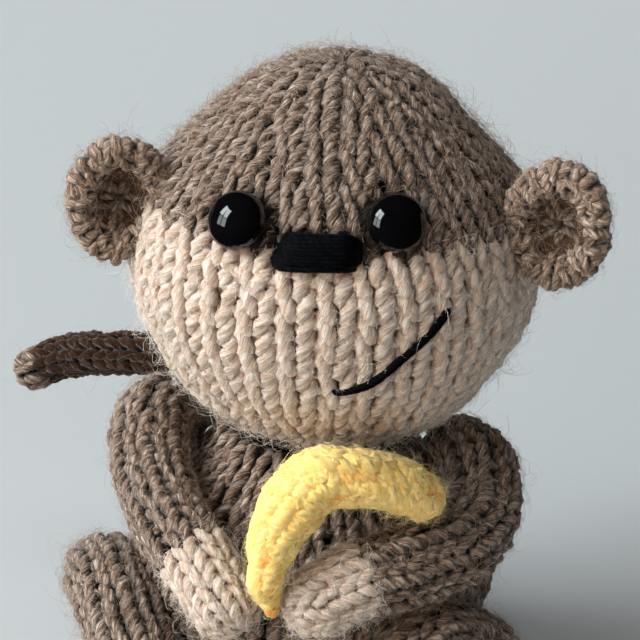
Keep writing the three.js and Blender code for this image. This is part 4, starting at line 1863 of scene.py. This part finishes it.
@dataclass
class Body(Part):
    """The pear-shaped body with its stuffing, and the gathered neck."""

    stitch: Stitch = Stitch(reach=2.5)
    fill: float = 0.9

    def build(self, shop: Workshop) -> None:
        """Makes the cover, the stuffing and the neck."""
        form = TurnedForm(body_outline())
        head = BallKeeper(HEAD_CENTRE, HEAD_RADIUS + 0.9)
        ground = GroundKeeper()
        knitter = Knitter(self.stitch, keepers=(ground, head), phase=0.01, shear=-0.0004, seed=5)
        top = float(np.interp(BODY_HEIGHT + 0.4, form.outline[:, 1], form.reach))
        brown = shop.finishes.brown
        rows = knitter.rows(form, 1.5, top)
        skin = Skin(form, 0.1, top, SHADE_OFF, (head,))
        shop.knit("body_knit", "body", brown, rows, skin, "body_cover")
        skin = Skin(form, 0.1, top - 1, STUFFING_OFF, (head,), lumps=0.8)
        shop.stuff("body_fill", "body", skin, "body_stuffing")
        hairs = Fuzz(3600, keepers=(ground, head), seed=41).hairs(form, 20, top)
        shop.fluff("body_fuzz", "body", brown, hairs)
        self._neck(shop)

    def _neck(self, shop: Workshop) -> None:
        """Makes the gathered disc between the body and the head.

        Args:
            shop: Where the piece is put.
        """
        reach = HEAD_RADIUS + 0.3
        angles = np.linspace(math.asin(2.6 / reach), math.asin(11.1 / reach), 40)
        outline = np.stack([reach * np.sin(angles), -reach * np.cos(angles)], axis=1)
        form = TurnedForm(outline, Placement(np.eye(3), HEAD_CENTRE))
        knitter = Knitter(Stitch().scaled(0.42, uneven=0.1), rounds=(30, 24, 16, 10), seed=6)
        rows = knitter.rows(form, 0.3, form.length - 0.2)
        brown = shop.finishes.brown
        parts = [(shop.yarn.build("neck_rows", rows), brown.yarn)]
        shop.put("neck_gather_knit", parts, "neck", ("neck_gather",))


@dataclass
class Limb(Part):
    """A stuffed tube in brown with a cream end."""

    side: Side
    split: float
    LIMB: ClassVar[str]
    END: ClassVar[str]
    STITCH: ClassVar[Stitch]
    ROUNDS: ClassVar[tuple[int, ...]]
    FUZZ: ClassVar[int] = 2600
    FILL: ClassVar[float] = 0.8
    SHADE_OFF: ClassVar[float] = -1.5
    STUFFING_OFF: ClassVar[float] = -2.0

    @abstractmethod
    def stops(self) -> list[np.ndarray]:
        """The route's stops on the toy's left, each with its radius."""

    @abstractmethod
    def keepers(self) -> tuple[Keeper, ...]:
        """What the limb keeps clear of."""

    def build(self, shop: Workshop) -> None:
        """Makes the tube, its end, their stuffing and the fuzz."""
        keepers = self.keepers()
        limb, end = f"{self.LIMB}_{self.side.value}", f"{self.END}_{self.side.value}"
        form = TubeForm(np.array(self.stops()) * (self.side.sign, 1, 1, 1), turn=20)
        change = form.first_cap + self.split * form.reach[-1]
        seed = sum(ord(letter) for letter in limb)
        knitter = Knitter(self.STITCH, self.ROUNDS, keepers, walk=Walk.TO_START, seed=seed)
        clear = (*keepers, GroundKeeper())
        wools = shop.finishes
        rows = knitter.rows(form, 1.2, change)
        skin = Skin(form, 0.3, change, self.SHADE_OFF, keepers)
        shop.knit(f"{limb}_knit", limb, wools.brown, rows, skin, limb)
        rows = knitter.rows(form, change, form.length - 1.0)
        skin = Skin(form, change, form.length - 0.2, self.SHADE_OFF, keepers)
        shop.knit(f"{end}_knit", limb, wools.cream, rows, skin, end)
        stuffing = f"{self.LIMB}_stuffing_{self.side.value}"
        skin = Skin(form, 0.5, form.length - 0.5, self.STUFFING_OFF, keepers, lumps=0.4)
        shop.stuff(f"{stuffing}_fill", limb, skin, stuffing)
        brown = Fuzz(self.FUZZ, keepers=clear, seed=seed).hairs(form, 3, change)
        shop.fluff(f"{limb}_fuzz", limb, wools.brown, brown)
        pale = Fuzz(self.FUZZ // 2, keepers=clear, seed=seed + 1).hairs(form, change, form.length - 1)
        shop.fluff(f"{end}_fuzz", limb, wools.cream, pale)


def around_body(around: float, up: float, out: float) -> np.ndarray:
    """A place beside the body.

    Args:
        around: Degrees from the front.
        up: A share of the body's height.
        out: Distance off the body.

    Returns:
        The point.
    """
    outline = body_outline()
    height = up * BODY_HEIGHT
    reach = float(np.interp(height, outline[:, 1], outline[:, 0])) + out
    angle = math.radians(around)
    return np.array([reach * math.sin(angle), -reach * math.cos(angle), height])


@dataclass
class Arm(Limb):
    """An arm of the hug, with its cream hand."""

    held: TubeForm
    LIMB: ClassVar[str] = "arm"
    END: ClassVar[str] = "hand"
    STITCH: ClassVar[Stitch] = Stitch().scaled(0.88, row=1.78, reach=1.55)
    ROUNDS: ClassVar[tuple[int, ...]] = (7, 6, 5)
    SHOULDER: ClassVar[tuple[float, ...]] = (16.966, 1.484, 33.77, 4.4)
    ROUTES: ClassVar[dict[Side, tuple[tuple[float, ...], ...]]] = {
        Side.RIGHT: (
            (79, 0.985, 7.6, 4.7), (60, 0.885, 5.6, 4.7), (40, 0.815, 4.7, 4.51),
            (24, 0.75, 4.4, 4.42), (9.6, 0.648, 4.3, 4.2),
        ),
        Side.LEFT: (
            (84, 0.925, 6.8, 4.9), (75, 0.84, 5.8, 4.99), (60, 0.785, 5.1, 4.94),
            (41, 0.765, 4.9, 4.8), (25, 0.735, 4.6, 4.51), (14.3, 0.685, 4.4, 4.2),
        ),
    }

    def stops(self) -> list[np.ndarray]:
        """See Limb."""
        held = (np.append(around_body(*stop[:3]), stop[3]) for stop in self.ROUTES[self.side])
        return [np.array(self.SHOULDER), *held]

    def keepers(self) -> tuple[Keeper, ...]:
        """See Limb."""
        head = BallKeeper(HEAD_CENTRE, HEAD_RADIUS)
        return (TubeKeeper(self.held), PearKeeper(body_outline()), head)


@dataclass
class Leg(Limb):
    """A leg with its cream foot, both resting on the ground."""

    LIMB: ClassVar[str] = "leg"
    END: ClassVar[str] = "foot"
    STITCH: ClassVar[Stitch] = Stitch().scaled(0.92, row=1.85, reach=1.6)
    ROUNDS: ClassVar[tuple[int, ...]] = (8, 7, 6, 5)
    HIPS: ClassVar[dict[Side, tuple[float, ...]]] = {
        Side.RIGHT: (24.815, -4.376, 13.453, 4.9),
        Side.LEFT: (23.02, -10.249, 13.453, 4.9),
    }
    ROUTES: ClassVar[dict[Side, tuple[tuple[float, ...], ...]]] = {
        Side.RIGHT: ((63, 0.465, 2.4, 5.292), (48, 0.44, 3.2, 5.4), (35, 0.345, 5.3, 5.4)),
        Side.LEFT: ((52, 0.465, 2.2, 5.292), (41, 0.43, 3.6, 5.4), (32, 0.335, 6.1, 5.4)),
    }
    FOOT_RADIUS: ClassVar[float] = 5.7
    PRESSED: ClassVar[float] = 0.5

    def stops(self) -> list[np.ndarray]:
        """See Limb."""
        stops = [np.array(self.HIPS[self.side])]
        for around, up, out, radius in self.ROUTES[self.side]:
            stops.append(np.append(around_body(around, up, out), radius))
        sole = (self.FOOT_RADIUS - self.PRESSED) / BODY_HEIGHT
        for around, out, lift in ((26.5, 9.4, 2.4), (18.5, 14.4, 0.0)):
            stops.append(np.append(around_body(around, sole, out) + (0, 0, lift), self.FOOT_RADIUS))
        return stops

    def keepers(self) -> tuple[Keeper, ...]:
        """See Limb."""
        return (PearKeeper(body_outline()), GroundKeeper())


@dataclass
class Tail(Part):
    """A knitted cord that rises behind the body and bends to the side."""

    root: tuple[float, float, float] = (-1.196, 22.825, 11.691)
    radius: float = 2.95
    steps: tuple[tuple[float, float, float], ...] = (
        (0, 0, 0), (-6.5, 3.6, 3.6), (-16.5, 4.4, 12), (-26.5, 3, 18.2),
        (-33, 3.4, 17.6), (-38.4, 4.2, 16.2), (-43, 4.2, 13.8),
    )

    def build(self, shop: Workshop) -> None:
        """Makes the tail."""
        stops = np.array([np.append(np.add(self.root, step), self.radius) for step in self.steps])
        form = TubeForm(stops)
        keepers = (PearKeeper(body_outline()),)
        stitch = Stitch().scaled(0.86, row=1.75, reach=1.5)
        knitter = Knitter(stitch, (5, 4), keepers, walk=Walk.TO_START, seed=9)
        rows = knitter.rows(form, 0.8, form.length - 0.8)
        # All rows but those at the tip are painted darker as painted shade; the tip keeps the plain brown,
        # where light falls on its end.
        tip = round(0.9 * len(rows))
        wool = shop.finishes.tail
        skin = Skin(form, 0.3, form.length - 0.2, -1.2, keepers)
        parts = [
            (shop.yarn.build("tail_rows", rows[:tip]), wool.yarn),
            (shop.yarn.build("tail_tip_rows", rows[tip:]), shop.finishes.brown.yarn),
            (skin.build("tail_shade"), wool.shade),
        ]
        shop.put("tail_knit", parts, "tail", ("tail",))
        hairs = Fuzz(450, seed=51).hairs(form, 3, form.length - 0.5)
        shop.fluff("tail_fuzz", "tail", wool, hairs)


@dataclass
class Banana(Part):
    """A thick knitted arc whose thin end is between the hands."""

    radius: float = 3.2
    stops: tuple[tuple[float, float, float, float], ...] = (
        (1.8, -27, 24.4, 0.27), (1.3, -27.1, 25.9, 0.47), (0.9, -27.1, 28, 0.66), (1.4, -25.8, 32.3, 0.92),
        (2.9, -24.1, 36, 1.12), (5, -22.4, 38.6, 1.12), (8.8, -21.3, 39.1, 1.03), (12.2, -19.4, 38.1, 1),
        (14.7, -17.7, 36.7, 0.97), (15.9, -16.7, 35.7, 0.9),
    )

    def form(self) -> TubeForm:
        """The banana's smooth form."""
        stops = np.array(self.stops) * (1, 1, 1, self.radius)
        return TubeForm(stops, turn=-40)

    def build(self, shop: Workshop) -> None:
        """Makes the banana, in a thick strand with little relief."""
        form = self.form()
        stitch = Stitch().scaled(
            0.84, row=1.75, reach=1.7, depth=0.07, shingle=0.05, strand=1.32, swell=0.03, uneven=0.16
        )
        knitter = Knitter(stitch, (6, 5, 4, 3), walk=Walk.TO_START, seed=13)
        rows = knitter.rows(form, 0.4, form.length - 0.7)
        skin = Skin(form, 0.1, form.length - 0.1, -1.0)
        wool = shop.finishes.yellow
        shop.knit("banana_knit", "banana", wool, rows, skin, "banana")
        hairs = Fuzz(3000, longest=2.2, shortest=0.4, seed=61).hairs(form, 1, form.length - 0.5)
        shop.fluff("banana_fuzz", "banana", wool, hairs)


TOY_MIDDLE = (0, 0, 0.045)
DAYLIGHT = (0.92, 0.985, 1.0)


def around_toy(azimuth: float, elevation: float, distance: float) -> Point:
    """A place in the studio.

    Args:
        azimuth: Degrees from the front to the picture's left.
        elevation: Degrees up.
        distance: From the toy's middle, in metres.

    Returns:
        The place, in metres.
    """
    az, el = math.radians(azimuth), math.radians(elevation)
    flat = distance * math.cos(el)
    return (-flat * math.sin(az), -flat * math.cos(az), TOY_MIDDLE[2] + distance * math.sin(el))


def hang(name: str, data: ID, at: Point, turn: Quaternion) -> Object:
    """Hangs a lamp or the camera.

    Args:
        name: The object's name.
        data: Its lamp or camera.
        at: Its place.
        turn: Its turn.

    Returns:
        The object.
    """
    holder = show(bpy.data.objects.new(name, data))
    holder.location = at
    holder.rotation_mode = "QUATERNION"
    holder.rotation_quaternion = turn
    return holder


@dataclass(frozen=True)
class Lamp:
    """A pane of soft light, or a narrow soft-edged spot if it has a cone."""

    name: str
    at: Point
    power: float
    size: tuple[float, float] = (0.9, 0.5)
    tint: Point = (0.96, 0.98, 1.0)
    aim: Point = TOY_MIDDLE
    glossy: bool = True
    cone: float = 0.0

    def build(self) -> None:
        """Hangs the lamp."""
        lamp = bpy.data.lights.new(self.name, "SPOT" if self.cone else "AREA")
        lamp.energy = self.power
        lamp.color = self.tint
        if self.cone:
            lamp.spot_size = math.radians(self.cone)
            lamp.spot_blend = 1.0
            lamp.shadow_soft_size = 0.03
        else:
            lamp.shape = "RECTANGLE"
            lamp.size, lamp.size_y = self.size
        turn = (Vector(self.at) - Vector(self.aim)).to_track_quat("Z", "Y")
        hang(self.name, lamp, self.at, turn).visible_glossy = self.glossy


@dataclass
class Studio:
    """The ground, the lights and the camera, which stands where the photograph was taken."""

    azimuth: float = 12.0
    elevation: float = 20.0
    roll: float = 2.8
    distance: float = 310.0
    focal_pixels: float = 2700.0
    head_at: tuple[float, float] = (335.0, 243.0)
    sensor: float = 36.0
    panes: tuple[tuple[int, int, float], ...] = ((48, 12, 1.1), (65, 12, 0.9), (50, 38, 2.3), (70, 38, 2.5))
    walls: tuple[tuple[int, float], ...] = ((-90, 0.9), (0, 0.9), (90, 3.0))

    def build(self, finishes: Finishes) -> None:
        """Sets the scene up.

        Args:
            finishes: The materials.
        """
        self._ground(finishes)
        for lamp in self._lamps():
            lamp.build()
        self._sky()
        self._camera()
        bpy.context.scene.view_settings.view_transform = "Standard"

    def _ground(self, finishes: Finishes) -> None:
        """A round floor that curves up into a backdrop on every side.

        Args:
            finishes: The materials.
        """
        flat, curve, top = 1.1, 0.5, 1.6
        line = [(0.0, 0.0), (0.3, 0.0), (0.7, 0.0)]
        for k in range(17):
            angle = math.pi / 2 * k / 16
            line.append((flat + curve * math.sin(angle), curve - curve * math.cos(angle)))
        line.append((flat + curve, top))
        mesh = finish_mesh(spun(line, 96, 1e-5), "ground", inward=True)
        mesh.materials.append(finishes.ground)
        ground = show(bpy.data.objects.new("ground", mesh))
        ground.visible_glossy = False

    def _lamps(self) -> list[Lamp]:
        """A window on the left, weak fills, and light on the walls.

        Returns:
            The lamps.
        """
        lamps = [
            Lamp(f"pane_{azimuth}_{up}", around_toy(azimuth, up, 0.85), power, (0.21, 0.36), DAYLIGHT)
            for azimuth, up, power in self.panes
        ]
        glow, card, roof = around_toy(58, 36, 0.85), around_toy(20, 10, 0.8), around_toy(0, 88, 0.8)
        lamps += [
            Lamp("window_glow", glow, 4.2, (0.66, 0.6), DAYLIGHT, glossy=False),
            Lamp("reflector", card, 2.2, (0.5, 0.4), (1.0, 0.78, 0.56), glossy=False),
            Lamp("ceiling", roof, 1.5, (0.6, 0.6), (1.0, 0.97, 0.94), glossy=False),
            Lamp(
                "snoot", around_toy(-8, 22, 0.8), 5.0, tint=(1, 1, 1),
                aim=(0.0125, -0.0295, 0.036), glossy=False, cone=1.3,
            ),
            Lamp("backdrop", (-0.3, 0.45, 0.75), 5.2, aim=(0.1, 1.5, 0.35)),
        ]
        for azimuth, power in self.walls:
            near, wall = around_toy(azimuth, 0, 0.45), around_toy(azimuth, 0, 1.5)
            lamps.append(Lamp(f"wall_{azimuth}", (*near[:2], 0.75), power, aim=(*wall[:2], 0.35)))
        return lamps

    def _sky(self) -> None:
        """A faint warm light from every side."""
        world = bpy.data.worlds.new("sky")
        world.use_nodes = True
        back = world.node_tree.nodes["Background"]
        back.inputs["Color"].default_value = (0.9, 0.82, 0.74, 1)
        back.inputs["Strength"].default_value = 0.005
        bpy.context.scene.world = world

    def _camera(self) -> None:
        """The camera at the photograph's place."""
        az, el, roll = (math.radians(v) for v in (self.azimuth, self.elevation, self.roll))
        right = Vector((math.cos(az), math.sin(az), 0))
        toward = Vector((math.sin(az) * math.cos(el), -math.cos(az) * math.cos(el), math.sin(el)))
        up = toward.cross(right)
        place = Vector(HEAD_CENTRE) + toward * self.distance
        middle = IMAGE_SIDE / 2
        across, upward = middle - self.head_at[0], self.head_at[1] - middle
        x = across * math.cos(roll) - upward * math.sin(roll)
        y = across * math.sin(roll) + upward * math.cos(roll)
        forward = (right * x + up * y) / self.focal_pixels - toward
        forward.normalize()
        rolled_up = up * math.cos(roll) - right * math.sin(roll)
        side = forward.cross(rolled_up).normalized()
        top = side.cross(forward)
        turn = Matrix((side, top, -forward)).transposed()
        camera = bpy.data.cameras.new("camera")
        camera.sensor_width = self.sensor
        camera.lens = self.focal_pixels / IMAGE_SIDE * self.sensor
        camera.clip_start = 0.01
        camera.clip_end = 20
        bpy.context.scene.camera = hang("camera", camera, place * MM, turn.to_quaternion())


def dress_washers(finishes: Finishes) -> None:
    """Gives the hidden eye washers their finish.

    Args:
        finishes: The materials.
    """
    for side in Side:
        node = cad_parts[f"eye_washer_{side.value}"]
        node.data.materials.clear()
        node.data.materials.append(finishes.washer)


def main() -> None:
    """Builds the toy and the studio."""
    logging.basicConfig(level=logging.INFO, format="%(name)s: %(message)s")
    shop = Workshop()
    banana = Banana()
    eyes = (Eye(Side.RIGHT, longitude=-23.8, latitude=22.2), Eye(Side.LEFT, longitude=24.2, latitude=25.2))
    parts: tuple[Part, ...] = (
        Body(),
        Head(eyes),
        Ear(Side.RIGHT, x=-23.8, up=6.3, turn=20),
        Ear(Side.LEFT, x=25.6, up=7.6, turn=-14),
        *eyes,
        Nose(),
        Mouth(),
        Arm(Side.RIGHT, 0.79, banana.form()),
        Arm(Side.LEFT, 0.82, banana.form()),
        Leg(Side.RIGHT, 0.66),
        Leg(Side.LEFT, 0.66),
        Tail(),
        banana,
    )
    for part in parts:
        part.build(shop)
    dress_washers(shop.finishes)
    shop.clean_up()
    Studio().build(shop.finishes)
    LOG.info("%d pieces", len(shop.made))


if __name__ == "__main__":
    main()
